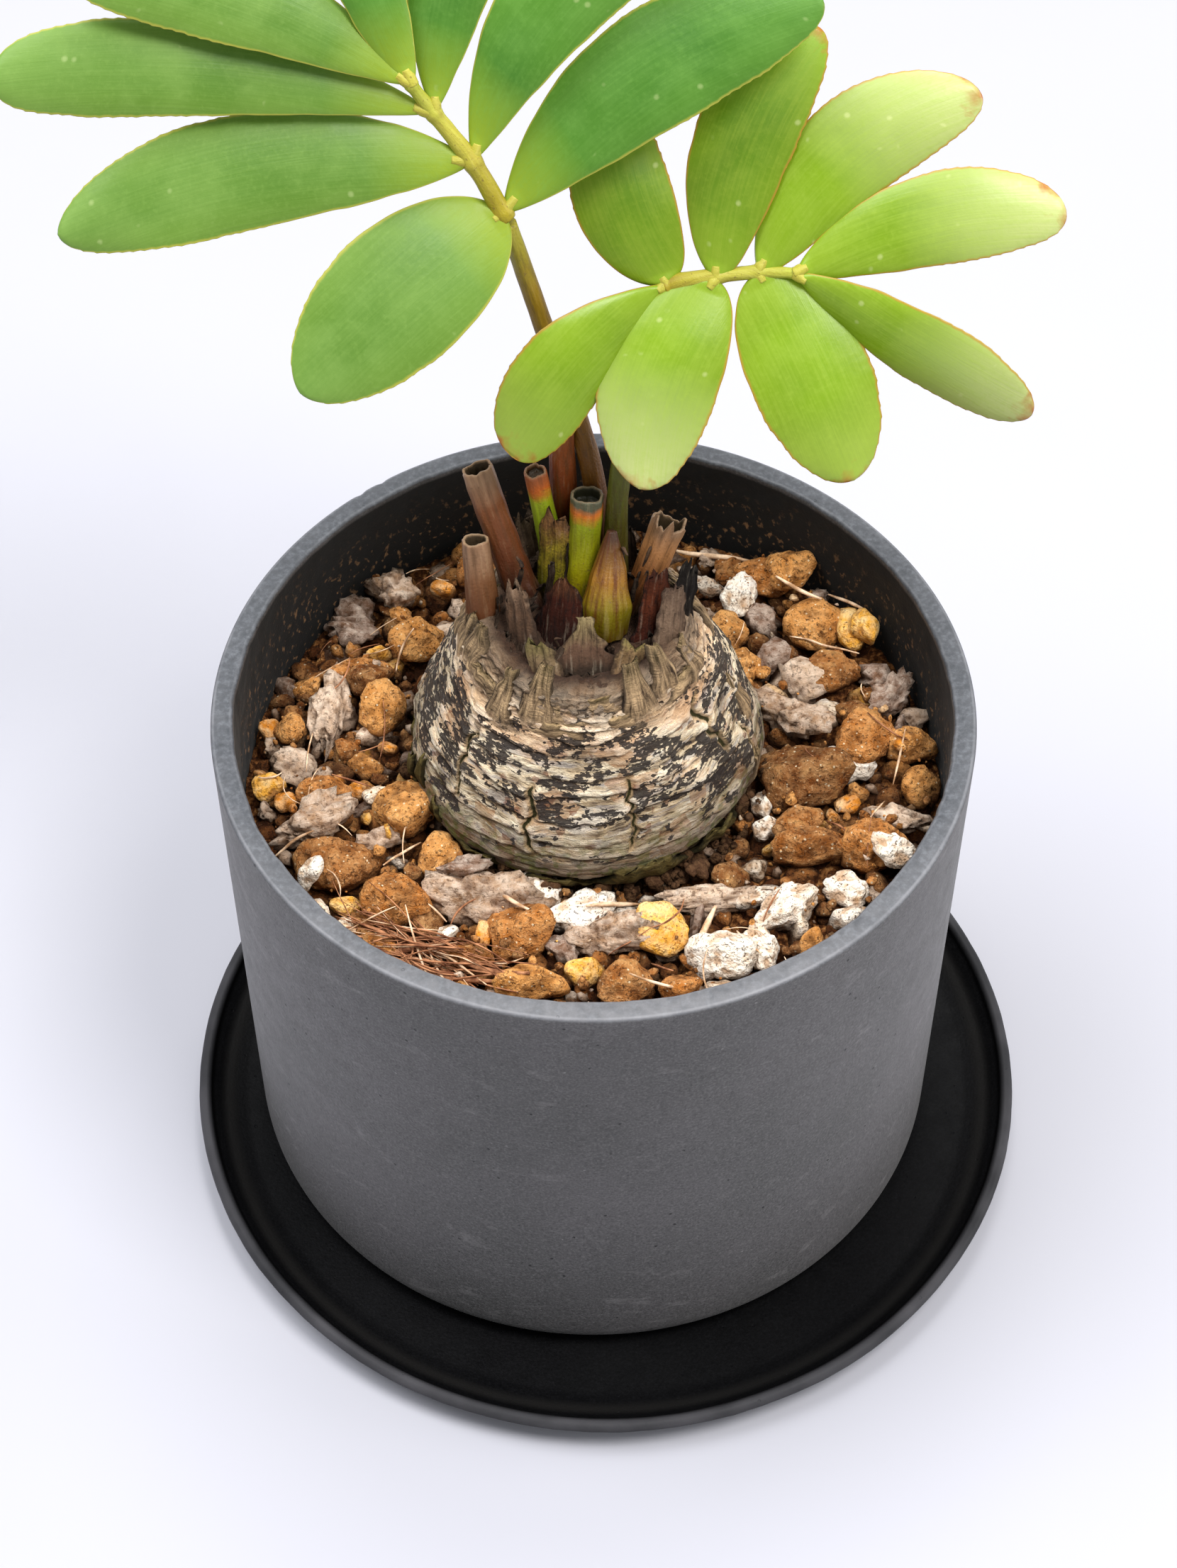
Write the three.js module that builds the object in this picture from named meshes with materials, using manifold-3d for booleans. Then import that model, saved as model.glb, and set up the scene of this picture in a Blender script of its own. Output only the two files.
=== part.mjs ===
import * as THREE from 'three'
import { mergeVertices } from 'three/addons/utils/BufferGeometryUtils.js'
import Module from 'manifold-3d'

// A young cardboard palm in a 12 cm charcoal pot on its saucer, in millimetres, +Z up.
// The origin is on the ground under the middle of the pot; -Y is the plant's front.

const wasm = await Module()
wasm.setup()

// Driving dimensions of the pot and its saucer
const POT_RIM_RADIUS = 60
const POT_FOOT_RADIUS = 58.8
const POT_TOP = 101.1
const POT_WALL = 3.6
const POT_FLOOR = 6
const POT_CORNER = 5
const RIM_ROUND = 1.1
const SAUCER_RADIUS = 72.1
const SAUCER_FLOOR_RADIUS = 62.4
const SAUCER_FLOOR = 3.2
const SAUCER_TOP = 7.4
const SAUCER_LIP = 2.4
const SAUCER_OFFSET = [2.3, -4.2]
const GAP = 0.3
const ROUND_STEPS = 48

// Driving dimensions of the soil and its gravel
const SOIL_LEVEL = 83
const SOIL_INSET = 0.4
const GRAVEL_COUNT = 72
const GRAVEL_SMALL = 3.4
const GRAVEL_LARGE = 6.6
const GRAVEL_SPACING = 0.8
const SEED = 20

// Driving dimensions of the swollen trunk
const TRUNK_AXIS = [-1.3, 4]
const CROWN_AXIS = [-1.7, 4]
const TRUNK_FOOT = SOIL_LEVEL + GAP
const TRUNK_TOP = 118
const TRUNK_PROFILE = [[25.4, 0], [27, 2.4], [27.7, 5.6], [27.4, 9], [26.2, 13], [24.4, 17.2],
  [22.2, 22], [20, 26.6], [17.9, 30.8], [16, 34], [13.4, 34.7]]
const TRUNK_STEPS = 40

// The fronds face the front and upwards
const FROND_A_FACE = [0.15, -0.74, 0.66]
const FROND_B_FACE = [-0.05, -0.72, 0.69]
const LEAF_THICK = 0.8
const LEAF_CUP = 1.2
const LEAF_ARCH = 2.4

const COLOURS = {
  charcoal: [0x35363a, 0.75],
  gravel: [0x8a5a34, 0.95],
  bark: [0xa09080, 0.9],
  stalkBrown: [0x7a6a30, 0.6],
  stalkGreen: [0x52702a, 0.55],
  dryStub: [0x8a6a50, 0.8],
  greenStub: [0x7c9a2c, 0.55],
  budGreen: [0xa8a040, 0.6],
  maroon: [0x4a2424, 0.7],
  greyScale: [0x7a6c60, 0.9],
  leafGreen: [0x4c9440, 0.5],
  leafYellow: [0x8ab432, 0.45]
}

function material(name) {
  const [color, roughness] = COLOURS[name]
  return new THREE.MeshStandardMaterial({ color, roughness, metalness: 0 })
}

const part = new THREE.Group()

function addMesh(name, geometry, colour, position = [0, 0, 0]) {
  const mesh = new THREE.Mesh(geometry, material(colour))
  mesh.name = name
  mesh.position.set(...position)
  part.add(mesh)
  return mesh
}

function seededRandom(seed) {
  let state = seed
  return () => {
    state = (state * 1664525 + 1013904223) % 4294967296
    return state / 4294967296
  }
}

// Solids: closed meshes in and out of the Boolean library

function toSolid(geometry) {
  const bare = geometry.clone()
  bare.deleteAttribute('normal')
  bare.deleteAttribute('uv')
  const merged = mergeVertices(bare, 1e-4)
  return new wasm.Manifold(new wasm.Mesh({
    numProp: 3,
    vertProperties: new Float32Array(merged.attributes.position.array),
    triVerts: new Uint32Array(merged.index.array)
  }))
}

function toGeometry(solid) {
  const mesh = solid.getMesh()
  const geometry = new THREE.BufferGeometry()
  geometry.setAttribute('position', new THREE.BufferAttribute(new Float32Array(mesh.vertProperties), 3))
  geometry.setIndex(new THREE.BufferAttribute(new Uint32Array(mesh.triVerts), 1))
  geometry.computeVertexNormals()
  return geometry
}

function largestPiece(solid) {
  const pieces = solid.decompose()
  return pieces.reduce((best, piece) => (piece.volume() > best.volume() ? piece : best))
}

// A closed grid mesh: rings of points joined in order, with a fan at each end
function ringsGeometry(rings) {
  const count = rings[0].length
  const points = rings.flat()
  const index = []
  for (let i = 0; i + 1 < rings.length; i++) {
    for (let j = 0; j < count; j++) {
      const a = i * count + j
      const b = i * count + (j + 1) % count
      index.push(a, b, b + count, a, b + count, a + count)
    }
  }
  for (const [ring, flip] of [[0, true], [rings.length - 1, false]]) {
    const middle = new THREE.Vector3()
    rings[ring].forEach((point) => middle.addScaledVector(point, 1 / count))
    points.push(middle)
    for (let j = 0; j < count; j++) {
      const a = ring * count + j
      const b = ring * count + (j + 1) % count
      index.push(...(flip ? [b, a, points.length - 1] : [a, b, points.length - 1]))
    }
  }
  const geometry = new THREE.BufferGeometry().setFromPoints(points)
  geometry.setIndex(index)
  geometry.computeVertexNormals()
  return geometry
}

// A tapering round limb through the given centres, with a radius at each of them
function limbGeometry(centres, radii, sides, steps, grow = 0) {
  const curve = new THREE.CatmullRomCurve3(centres.map((c) => new THREE.Vector3(...c)))
  const sideways = new THREE.Vector3(1, 0, 0)
  const rings = []
  for (let i = 0; i <= steps; i++) {
    const t = i / steps
    const along = curve.getTangent(t)
    const across = sideways.clone().addScaledVector(along, -sideways.dot(along)).normalize()
    const third = along.clone().cross(across)
    const place = t * (radii.length - 1)
    const low = Math.min(Math.floor(place), radii.length - 2)
    const radius = THREE.MathUtils.lerp(radii[low], radii[low + 1], place - low) + grow
    const ring = []
    for (let j = 0; j < sides; j++) {
      const turn = 2 * Math.PI * j / sides
      ring.push(curve.getPoint(t).addScaledVector(across, radius * Math.cos(turn))
        .addScaledVector(third, radius * Math.sin(turn)))
    }
    rings.push(ring)
  }
  return ringsGeometry(rings)
}

// A thin curved blade from base along reach; outline(t) is its width as a share of the full width
function bladeGeometry(blade) {
  const { base, reach, face, width, thick, outline, steps = 9, across = 4 } = blade
  const { cup = 0, arch = 0, bow = 0, roll = 0, grow = 0 } = blade
  const axis = new THREE.Vector3(...reach)
  const along = axis.clone().normalize()
  const up = new THREE.Vector3(...face)
  up.addScaledVector(along, -up.dot(along)).normalize()
  up.applyAxisAngle(along, THREE.MathUtils.degToRad(roll))
  const side = along.clone().cross(up)
  const rings = []
  for (let i = 0; i <= steps; i++) {
    const t = i / steps
    const swell = 4 * t * (1 - t)
    const centre = new THREE.Vector3(...base).addScaledVector(axis, t)
    centre.addScaledVector(up, arch * swell).addScaledVector(side, bow * swell)
    if (i === 0) centre.addScaledVector(along, -grow)
    if (i === steps) centre.addScaledVector(along, grow)
    const half = width / 2 * outline(t) + grow
    const top = []
    const bottom = []
    for (let j = 0; j <= across; j++) {
      const v = 2 * j / across - 1
      const point = centre.clone().addScaledVector(side, half * v)
      point.addScaledVector(up, -cup * v * v * outline(t))
      top.push(point.clone().addScaledVector(up, thick / 2 + grow))
      bottom.unshift(point.clone().addScaledVector(up, -thick / 2 - grow))
    }
    rings.push([...top, ...bottom])
  }
  return ringsGeometry(rings)
}

// Pot and saucer: turned walls with rounded lips

function arcPoints(centre, radius, from, to, steps) {
  const points = []
  for (let i = 0; i <= steps; i++) {
    const turn = THREE.MathUtils.degToRad(from + (to - from) * i / steps)
    points.push([centre[0] + radius * Math.cos(turn), centre[1] + radius * Math.sin(turn)])
  }
  return points
}

function turned(profile) {
  const points = profile.map(([r, z]) => new THREE.Vector2(Math.max(r, 0), z))
  const geometry = new THREE.LatheGeometry(points, ROUND_STEPS)
  geometry.rotateX(Math.PI / 2)
  return geometry
}

const potFoot = SAUCER_FLOOR + GAP
const potInnerTop = POT_RIM_RADIUS - POT_WALL
const potInnerFoot = POT_FOOT_RADIUS - POT_WALL

function potProfile() {
  return [
    [0, potFoot],
    ...arcPoints([POT_FOOT_RADIUS - POT_CORNER, potFoot + POT_CORNER], POT_CORNER, -90, 0, 4),
    ...arcPoints([POT_RIM_RADIUS - RIM_ROUND, POT_TOP - RIM_ROUND], RIM_ROUND, 0, 90, 2),
    ...arcPoints([potInnerTop + RIM_ROUND, POT_TOP - RIM_ROUND], RIM_ROUND, 90, 180, 2),
    ...arcPoints([potInnerFoot - POT_CORNER, potFoot + POT_FLOOR + POT_CORNER], POT_CORNER, 0, -90, 2),
    [0, potFoot + POT_FLOOR]
  ]
}

function saucerProfile() {
  const lipMiddle = SAUCER_RADIUS - SAUCER_LIP / 2
  const foot = SAUCER_FLOOR_RADIUS - 0.5
  return [
    [0, 0],
    [foot, 0],
    [foot + 3.2, 0.6],
    [SAUCER_RADIUS - 1.6, 3.4],
    ...arcPoints([lipMiddle, SAUCER_TOP - SAUCER_LIP / 2], SAUCER_LIP / 2, 0, 180, 4),
    [SAUCER_RADIUS - SAUCER_LIP - 2.4, SAUCER_FLOOR + 1.3],
    [SAUCER_FLOOR_RADIUS, SAUCER_FLOOR],
    [0, SAUCER_FLOOR]
  ]
}

addMesh('saucer', turned(saucerProfile()), 'charcoal', [...SAUCER_OFFSET, 0])
addMesh('pot', turned(potProfile()), 'charcoal')

// Swollen trunk: round rings that follow the profile and lean a little to the crown

function trunkGeometry(grow = 0) {
  const height = TRUNK_TOP - TRUNK_FOOT
  const rings = TRUNK_PROFILE.map(([radius, rise]) => {
    const t = rise / height
    const x = THREE.MathUtils.lerp(TRUNK_AXIS[0], CROWN_AXIS[0], t * t)
    const y = THREE.MathUtils.lerp(TRUNK_AXIS[1], CROWN_AXIS[1], t * t)
    const drop = rise === 0 ? -grow : grow * t
    const ring = []
    for (let j = 0; j < TRUNK_STEPS; j++) {
      const turn = 2 * Math.PI * j / TRUNK_STEPS
      const lumps = 0.25 * Math.sin(3 * turn + 1) + 0.2 * Math.sin(5 * turn + rise * 0.3)
      const r = radius + lumps + grow
      ring.push(new THREE.Vector3(x + r * Math.cos(turn), y + r * Math.sin(turn), TRUNK_FOOT + rise + drop))
    }
    return ring
  })
  return ringsGeometry(rings)
}

addMesh('trunk', trunkGeometry(), 'bark')
const trunkRoom = toSolid(trunkGeometry(GAP))

// Soil: a filled cylinder with grit heaped on it, cut clear of the pot and the trunk

function soilProfile(top) {
  const bottom = potFoot + POT_FLOOR + GAP
  const wallAt = (z) => THREE.MathUtils.mapLinear(z, potFoot + POT_CORNER, POT_TOP - RIM_ROUND,
    potInnerFoot, potInnerTop) - SOIL_INSET
  return [
    [0, bottom],
    [potInnerFoot - POT_CORNER - SOIL_INSET, bottom],
    [wallAt(bottom + POT_CORNER), bottom + POT_CORNER],
    [wallAt(top), top],
    [0, top]
  ]
}

function gravelPiece(random, x, y, radius) {
  const geometry = new THREE.IcosahedronGeometry(radius, 0)
  geometry.deleteAttribute('normal')
  geometry.deleteAttribute('uv')
  const stone = mergeVertices(geometry, 1e-3)
  const position = stone.attributes.position
  for (let i = 0; i < position.count; i++) {
    const stretch = 0.85 + 0.3 * random()
    position.setXYZ(i, position.getX(i) * stretch, position.getY(i) * stretch, position.getZ(i) * stretch)
  }
  stone.scale(1, 0.75 + 0.25 * random(), 0.7)
  stone.rotateZ(2 * Math.PI * random())
  stone.translate(x, y, SOIL_LEVEL + radius * 0.15)
  return stone
}

function soilSolid() {
  const random = seededRandom(SEED)
  const bed = toSolid(turned(soilProfile(SOIL_LEVEL)))
  const room = toSolid(turned(soilProfile(SOIL_LEVEL + 2 * GRAVEL_LARGE)))
  const placed = []
  const reach = potInnerTop - SOIL_INSET
  for (let tries = 0; placed.length < GRAVEL_COUNT && tries < 4000; tries++) {
    const radius = THREE.MathUtils.lerp(GRAVEL_LARGE, GRAVEL_SMALL, Math.min(1, tries / 900) ** 0.6)
    const away = reach * Math.sqrt(random())
    const turn = 2 * Math.PI * random()
    const x = away * Math.cos(turn)
    const y = away * Math.sin(turn)
    const fromTrunk = Math.hypot(x - TRUNK_AXIS[0], y - TRUNK_AXIS[1])
    const clear = placed.every((other) => (
      Math.hypot(x - other.x, y - other.y) > GRAVEL_SPACING * (radius + other.radius)
    ))
    if (fromTrunk < TRUNK_PROFILE[1][0] + radius * 0.7 || away > reach - radius * 0.6 || !clear) continue
    placed.push({ x, y, radius })
  }
  const stones = placed.map(({ x, y, radius }) => toSolid(gravelPiece(random, x, y, radius)))
  const heap = bed.add(wasm.Manifold.union(stones).intersect(room))
  return largestPiece(heap.subtract(trunkRoom))
}

addMesh('soil', toGeometry(soilSolid()), 'gravel')

// Crown: each piece is cut clear of the trunk and of the pieces before it

let crownRoom = trunkRoom

function addCrownPiece(name, colour, make, hollow) {
  let solid = toSolid(make(0))
  if (hollow) solid = solid.subtract(toSolid(hollow))
  solid = largestPiece(solid.subtract(crownRoom))
  crownRoom = crownRoom.add(toSolid(make(GAP)))
  addMesh(name, toGeometry(solid), colour)
}

// The two stalks, from the crown to their first leaflets
const STALK_A = {
  centres: [[0.2, 15, 114], [-0.4, 19.2, 134.5], [-8, 24.8, 161], [-12.4, 25.8, 178]],
  radii: [2.1, 1.7, 1.45, 1.35]
}
const STALK_B = {
  centres: [[3.3, 12.2, 114], [3.6, 15, 133], [6, 21, 150], [9.4, 26.6, 163]],
  radii: [2.1, 1.65, 1.4, 1.25]
}

function stalk(name, colour, { centres, radii }) {
  addCrownPiece(name, colour, (grow) => limbGeometry(centres, radii, 10, 12, grow))
}

stalk('stalk_a', 'stalkBrown', STALK_A)
stalk('stalk_b', 'stalkGreen', STALK_B)

// Cut leaf stalks: base, top, radius at base and top, depth of the hollow in the cut end
const STUBS = [
  { name: 'stub_centre', colour: 'greenStub', base: [-1.8, 9.3, 114], top: [-1.1, 14.1, 133],
    foot: 2.6, end: 2.5, deep: 0.8 },
  { name: 'stub_tall', colour: 'dryStub', base: [-11.4, 9.4, 114], top: [-17.8, 17.7, 136],
    foot: 2.4, end: 2.2, deep: 6 },
  { name: 'stub_low', colour: 'dryStub', base: [-16.6, 4.6, 113], top: [-18, 9.8, 128.6],
    foot: 2.4, end: 1.9, deep: 5 },
  { name: 'stub_green', colour: 'greenStub', base: [-6.8, 14, 114], top: [-8.7, 16.3, 137],
    foot: 2, end: 1.75, deep: 0 },
  { name: 'stub_right', colour: 'dryStub', base: [6.4, 8.4, 114], top: [10.9, 13, 130],
    foot: 1.6, end: 2.5, deep: 4 },
  { name: 'stub_striped', colour: 'dryStub', base: [-4.2, 17.5, 114], top: [-5, 19.2, 143],
    foot: 2, end: 1.9, deep: 2 }
]
const STUB_WALL = 0.75

function stub({ name, colour, base, top, foot, end, deep }) {
  const low = new THREE.Vector3(...base)
  const high = new THREE.Vector3(...top)
  const middle = low.clone().lerp(high, 0.5)
  const make = (grow) => {
    const reach = high.clone().addScaledVector(high.clone().sub(low).normalize(), grow)
    const radii = [foot, (foot + end) / 2, end]
    return limbGeometry([base, middle.toArray(), reach.toArray()], radii, 10, 3, grow)
  }
  let hollow = null
  if (deep > 0) {
    const along = high.clone().sub(low).normalize()
    const floor = high.clone().addScaledVector(along, -deep)
    const mouth = high.clone().addScaledVector(along, 1)
    const bore = end - STUB_WALL
    hollow = limbGeometry([floor.toArray(), high.toArray(), mouth.toArray()], [bore, bore, bore], 10, 2)
  }
  addCrownPiece(name, colour, make, hollow)
}

STUBS.forEach(stub)

// The swollen bud scale in front of the centre stub
const BUD = {
  centres: [[1.8, 2.6, 115.5], [1.9, 4.2, 120.4], [2.3, 7.4, 125.2], [2.7, 10, 130.4]],
  radii: [3.2, 3.7, 2.5, 0.7]
}
addCrownPiece('bud_scale', 'budGreen', (grow) => limbGeometry(BUD.centres, BUD.radii, 10, 8, grow))

// Scale leaves round the crown: base, tip, width and the way the cupped side faces out
const SCALES = [
  { name: 'scale_maroon', colour: 'maroon', base: [-5.6, -0.2, 116], tip: [-4.7, 7.6, 123], width: 8 },
  { name: 'scale_torn', colour: 'budGreen', base: [-6.2, 9.9, 116], tip: [-6, 13, 134], width: 5 },
  { name: 'scale_front', colour: 'greyScale', base: [-1.2, -8, 116], tip: [-1.7, 0.6, 120.2], width: 14 },
  { name: 'scale_left', colour: 'greyScale', base: [-11.2, -2.6, 116], tip: [-12.9, 5.2, 125], width: 5.6 },
  { name: 'scale_left_front', colour: 'greyScale', base: [-7.6, -8.4, 116], tip: [-9.2, -3.6, 122.4],
    width: 6 },
  { name: 'scale_right_front', colour: 'greyScale', base: [5.6, -7.6, 116], tip: [6.9, -3.2, 122.6],
    width: 6 },
  { name: 'scale_right', colour: 'maroon', base: [9, 0.4, 116], tip: [10.2, 7.6, 127.4], width: 5 },
  { name: 'scale_striped', colour: 'greyScale', base: [11.6, -3, 115], tip: [13, 5.2, 127], width: 5 },
  { name: 'scale_black', colour: 'greyScale', base: [13.4, 2.6, 115], tip: [15.4, 8.6, 127], width: 4 },
  { name: 'scale_back_right', colour: 'greyScale', base: [8.6, 14.4, 115], tip: [10.2, 18.6, 126],
    width: 6 },
  { name: 'scale_back', colour: 'greyScale', base: [-0.2, 19, 114], tip: [0.2, 23, 125], width: 6 },
  { name: 'scale_back_left', colour: 'greyScale', base: [-9.8, 15.4, 115], tip: [-11.6, 20, 127], width: 6 }
]
const SCALE_THICK = 0.8

function scaleOutline(t) {
  return Math.max(0.1, (1 - t) ** 0.55) * (0.85 + 0.35 * t)
}

function scaleLeaf({ name, colour, base, tip, width }) {
  const reach = tip.map((value, i) => value - base[i])
  const face = [base[0] - CROWN_AXIS[0], base[1] - CROWN_AXIS[1] - 3, 4]
  addCrownPiece(name, colour, (grow) => bladeGeometry({
    base, reach, face, width, thick: SCALE_THICK, outline: scaleOutline,
    cup: 0.16 * width, steps: 5, across: 2, grow
  }))
}

SCALES.forEach(scaleLeaf)

// Fronds: a rib with paired leaflets, fused into one blade each
const FROND_A = {
  face: FROND_A_FACE,
  rib: { centres: [[-12.7, 25.9, 178.9], [-17.3, 27.7, 188], [-22.7, 29.9, 195], [-25.9, 29.9, 200.6]],
    radii: [1.4, 1.3, 1.1, 0.8] },
  nodes: [[-13, 26, 180], [-17.3, 27.7, 188], [-22.5, 29.8, 195], [-25.4, 29.9, 200]],
  leaflets: [
    { node: 0, reach: [-29, -21, -15.5], width: 20.5, bow: 1, root: 0.54, tip: 0.58 },
    { node: 1, reach: [-58, -11.5, -3.5], width: 16.2, bow: 4, root: 0.74, tip: 0.56 },
    { node: 2, reach: [-60.5, -2.5, 8.5], width: 13.4, bow: 3.2, root: 0.82, tip: 0.36 },
    { node: 3, reach: [-47, 5, 18], width: 14, bow: 3, root: 0.8, tip: 0.4 },
    { node: 3, reach: [-9, 24, 39.5], width: 11.6, bow: -3.5, root: 0.64, tip: 0.42 },
    { node: 2, reach: [15, 26, 36.5], width: 15, bow: -4, root: 0.8, tip: 0.4 },
    { node: 1, reach: [33, 19.5, 31.5], width: 15.4, bow: -6.5, root: 0.78, tip: 0.42 },
    { node: 0, reach: [45, 16.5, 25], width: 17, bow: -5, root: 0.76, tip: 0.56 }
  ]
}
const FROND_B = {
  face: FROND_B_FACE,
  rib: { centres: [[10, 27.1, 164.4], [14, 27.2, 166], [24, 27.6, 167], [30.4, 26.2, 168]],
    radii: [1.3, 1.2, 1, 0.7] },
  nodes: [[10.6, 27, 165.2], [17.7, 26.9, 166.3], [24, 27.6, 167], [29.4, 26.3, 168]],
  leaflets: [
    { node: 0, reach: [-9, 15, 21.5], width: 14.5, bow: -2, root: 0.46, tip: 0.42 },
    { node: 1, reach: [13.5, 21, 30], width: 14.6, bow: -3.2, root: 0.57, tip: 0.44 },
    { node: 2, reach: [31, 13, 23.5], width: 15, bow: -5, root: 0.63, tip: 0.48 },
    { node: 3, reach: [38.5, 2, 10.5], width: 13.4, bow: -3, root: 0.7, tip: 0.48 },
    { node: 3, reach: [34.5, -16, -13], width: 12.4, bow: -1, roll: 38, root: 0.8, tip: 0.52 },
    { node: 2, reach: [14.5, -20, -23], width: 17.8, bow: -0.6, root: 0.5, tip: 0.52 },
    { node: 1, reach: [-11, -19.5, -24], width: 17.6, bow: 2.6, root: 0.58, tip: 0.56 },
    { node: 0, reach: [-23, -16.5, -19], width: 15, bow: 3.4, roll: -28, root: 0.9, tip: 0.46 }
  ]
}

// A leaflet's width along its length: root and tip say how fast it opens and closes
function leafletOutline(root, tip) {
  const widest = root / (root + tip)
  const full = (widest ** root) * ((1 - widest) ** tip)
  return (t) => Math.max(0.1, (t ** root) * ((1 - t) ** tip) / full)
}

function frondSolid({ face, rib, nodes, leaflets }) {
  const ribSolid = toSolid(limbGeometry(rib.centres, rib.radii, 8, 9))
  const blades = leaflets.map(({ node, reach, width, bow, roll = 0, root, tip }) => toSolid(bladeGeometry({
    base: nodes[node], reach, face, width, bow, roll, thick: LEAF_THICK,
    outline: leafletOutline(root, tip), cup: LEAF_CUP, arch: LEAF_ARCH, steps: 9
  })))
  return wasm.Manifold.union([ribSolid, ...blades])
}

addMesh('frond_a', toGeometry(frondSolid(FROND_A).subtract(crownRoom)), 'leafGreen')
addMesh('frond_b', toGeometry(frondSolid(FROND_B).subtract(crownRoom)), 'leafYellow')

export default part
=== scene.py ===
import math

import bmesh
import bpy
import numpy as np
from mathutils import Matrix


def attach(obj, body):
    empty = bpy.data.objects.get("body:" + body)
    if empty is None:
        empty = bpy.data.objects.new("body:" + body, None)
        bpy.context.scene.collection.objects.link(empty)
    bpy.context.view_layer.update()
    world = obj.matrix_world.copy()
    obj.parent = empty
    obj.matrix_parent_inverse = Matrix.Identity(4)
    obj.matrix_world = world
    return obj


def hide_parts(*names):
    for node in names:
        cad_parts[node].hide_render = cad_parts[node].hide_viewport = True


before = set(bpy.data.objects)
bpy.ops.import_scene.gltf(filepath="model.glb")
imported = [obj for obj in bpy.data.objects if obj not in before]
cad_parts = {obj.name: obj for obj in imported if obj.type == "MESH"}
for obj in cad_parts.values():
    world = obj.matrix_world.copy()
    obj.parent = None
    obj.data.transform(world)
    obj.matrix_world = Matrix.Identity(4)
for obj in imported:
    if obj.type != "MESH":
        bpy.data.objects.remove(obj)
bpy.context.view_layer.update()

# A young cardboard palm in a charcoal pot. Sizes and places are in millimetres, +Z up, and the
# front is -Y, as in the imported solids. add_piece turns them into metres. Only the camera and the
# lamps are placed in metres.
MM = 0.001

# Pot and saucer
POT_RIM_RADIUS = 60
POT_FOOT_RADIUS = 58.8
POT_TOP = 101.1
POT_FOOT = 3.5
POT_WALL = 3.6
POT_FLOOR = 6
POT_CORNER = 5
RIM_ROUND = 0.7
TURNED_SIDES = 360
LIP_CHIPS = 14
SAUCER_RADIUS = 72.1
SAUCER_FLOOR_RADIUS = 62.4
SAUCER_FLOOR = 3.2
SAUCER_TOP = 7.4
SAUCER_LIP = 2.4
SAUCER_OFFSET = (2.3, -4.2)

# Soil and trunk
SOIL_RADIUS = 55.9
BED_LEVEL = 80.4
TRUNK_AXIS = (-1.3, 4)
CROWN_AXIS = (-1.7, 4)
TRUNK_FOOT = 83.3
TRUNK_HEIGHT = 34.7
TRUNK_PROFILE = [(25.4, 0), (27, 2.4), (27.7, 5.6), (27.4, 9), (26.2, 13), (24.4, 17.2),
                 (22.2, 22), (20, 26.6), (17.9, 30.8), (16, 34), (13.4, 34.7)]
TRUNK_RADII, TRUNK_RISES = np.array(TRUNK_PROFILE).T

# Camera: fitted to the pot's outlines in the photograph
IMAGE_HEIGHT = 2212
FOCAL_PIXELS = 4800
SENSOR = 36
CAMERA_PLACE = (0, -0.3417, 0.5096)
CAMERA_TILT = 38.59
CAMERA_TURN = 0.13


# Small helpers: noise, colours and meshes

def lattice(x, y, z, seed):
    """A repeatable value from -1 to 1 for each whole-number place."""
    n = (x * 73856093) ^ (y * 19349663) ^ (z * 83492791) ^ (seed * 26544357)
    n = ((n & 0xFFFFFFFF) ^ ((n & 0xFFFFFFFF) >> 15)) * 739982445 & 0xFFFFFFFF
    n = (n ^ (n >> 12)) * 695872825 & 0xFFFFFFFF
    return ((n >> 8) & 0xFFFF) / 32767.5 - 1


def wander(points, size, seed):
    """Smooth noise from about -1 to 1 over points, with features of that size."""
    scaled = np.asarray(points, float) / size
    whole = np.floor(scaled).astype(np.int64)
    part = scaled - whole
    part = part ** 3 * (part * (part * 6 - 15) + 10)
    total = np.zeros(scaled.shape[:-1])
    for dx in (0, 1):
        for dy in (0, 1):
            for dz in (0, 1):
                weight = (abs(1 - dx - part[..., 0]) * abs(1 - dy - part[..., 1])
                          * abs(1 - dz - part[..., 2]))
                corner = lattice(whole[..., 0] + dx, whole[..., 1] + dy, whole[..., 2] + dz, seed)
                total += weight * corner
    return total


def rough(points, size, seed, octaves=3):
    """Several layers of noise, each half the size and strength of the one before."""
    return sum(wander(points, size / 2 ** k, seed + 17 * k) / 2 ** k for k in range(octaves))


def smooth_step(value, low, high):
    share = np.clip((value - low) / (high - low), 0, 1)
    return share * share * (3 - 2 * share)


def rgb(text):
    """A colour written as rrggbb, made linear for the shaders."""
    parts = [int(text[i:i + 2], 16) / 255 for i in (0, 2, 4)]
    return tuple(p / 12.92 if p <= 0.04045 else ((p + 0.055) / 1.055) ** 2.4 for p in parts) + (1,)


def unit(vector):
    vector = np.asarray(vector, float)
    return vector / np.linalg.norm(vector, axis=-1, keepdims=True)


def heading(turn):
    """The level direction at that turn in radians."""
    return np.array([math.cos(turn), math.sin(turn), 0])


def places(x, y, z):
    """Places from their coordinates, each of which is a grid or one number."""
    return np.stack(np.broadcast_arrays(x, y, z), axis=-1)


def round_line(radius, turn, height, x=0, y=0):
    """Places at those distances and turns round the upright line at x and y."""
    return places(x + radius * np.cos(turn), y + radius * np.sin(turn), height)


def swelled(rings, line, factor):
    """The same limb, made thicker by that factor at each point."""
    return line[:, None] + (rings - line[:, None]) * factor[..., None]


def grid_faces(rows, columns):
    i = np.arange(rows - 1)[:, None] * columns
    j = np.arange(columns)[None, :]
    a = i + j
    b = i + (j + 1) % columns
    return np.stack([a, b, b + columns, a + columns], axis=-1).reshape(-1, 4)


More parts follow.
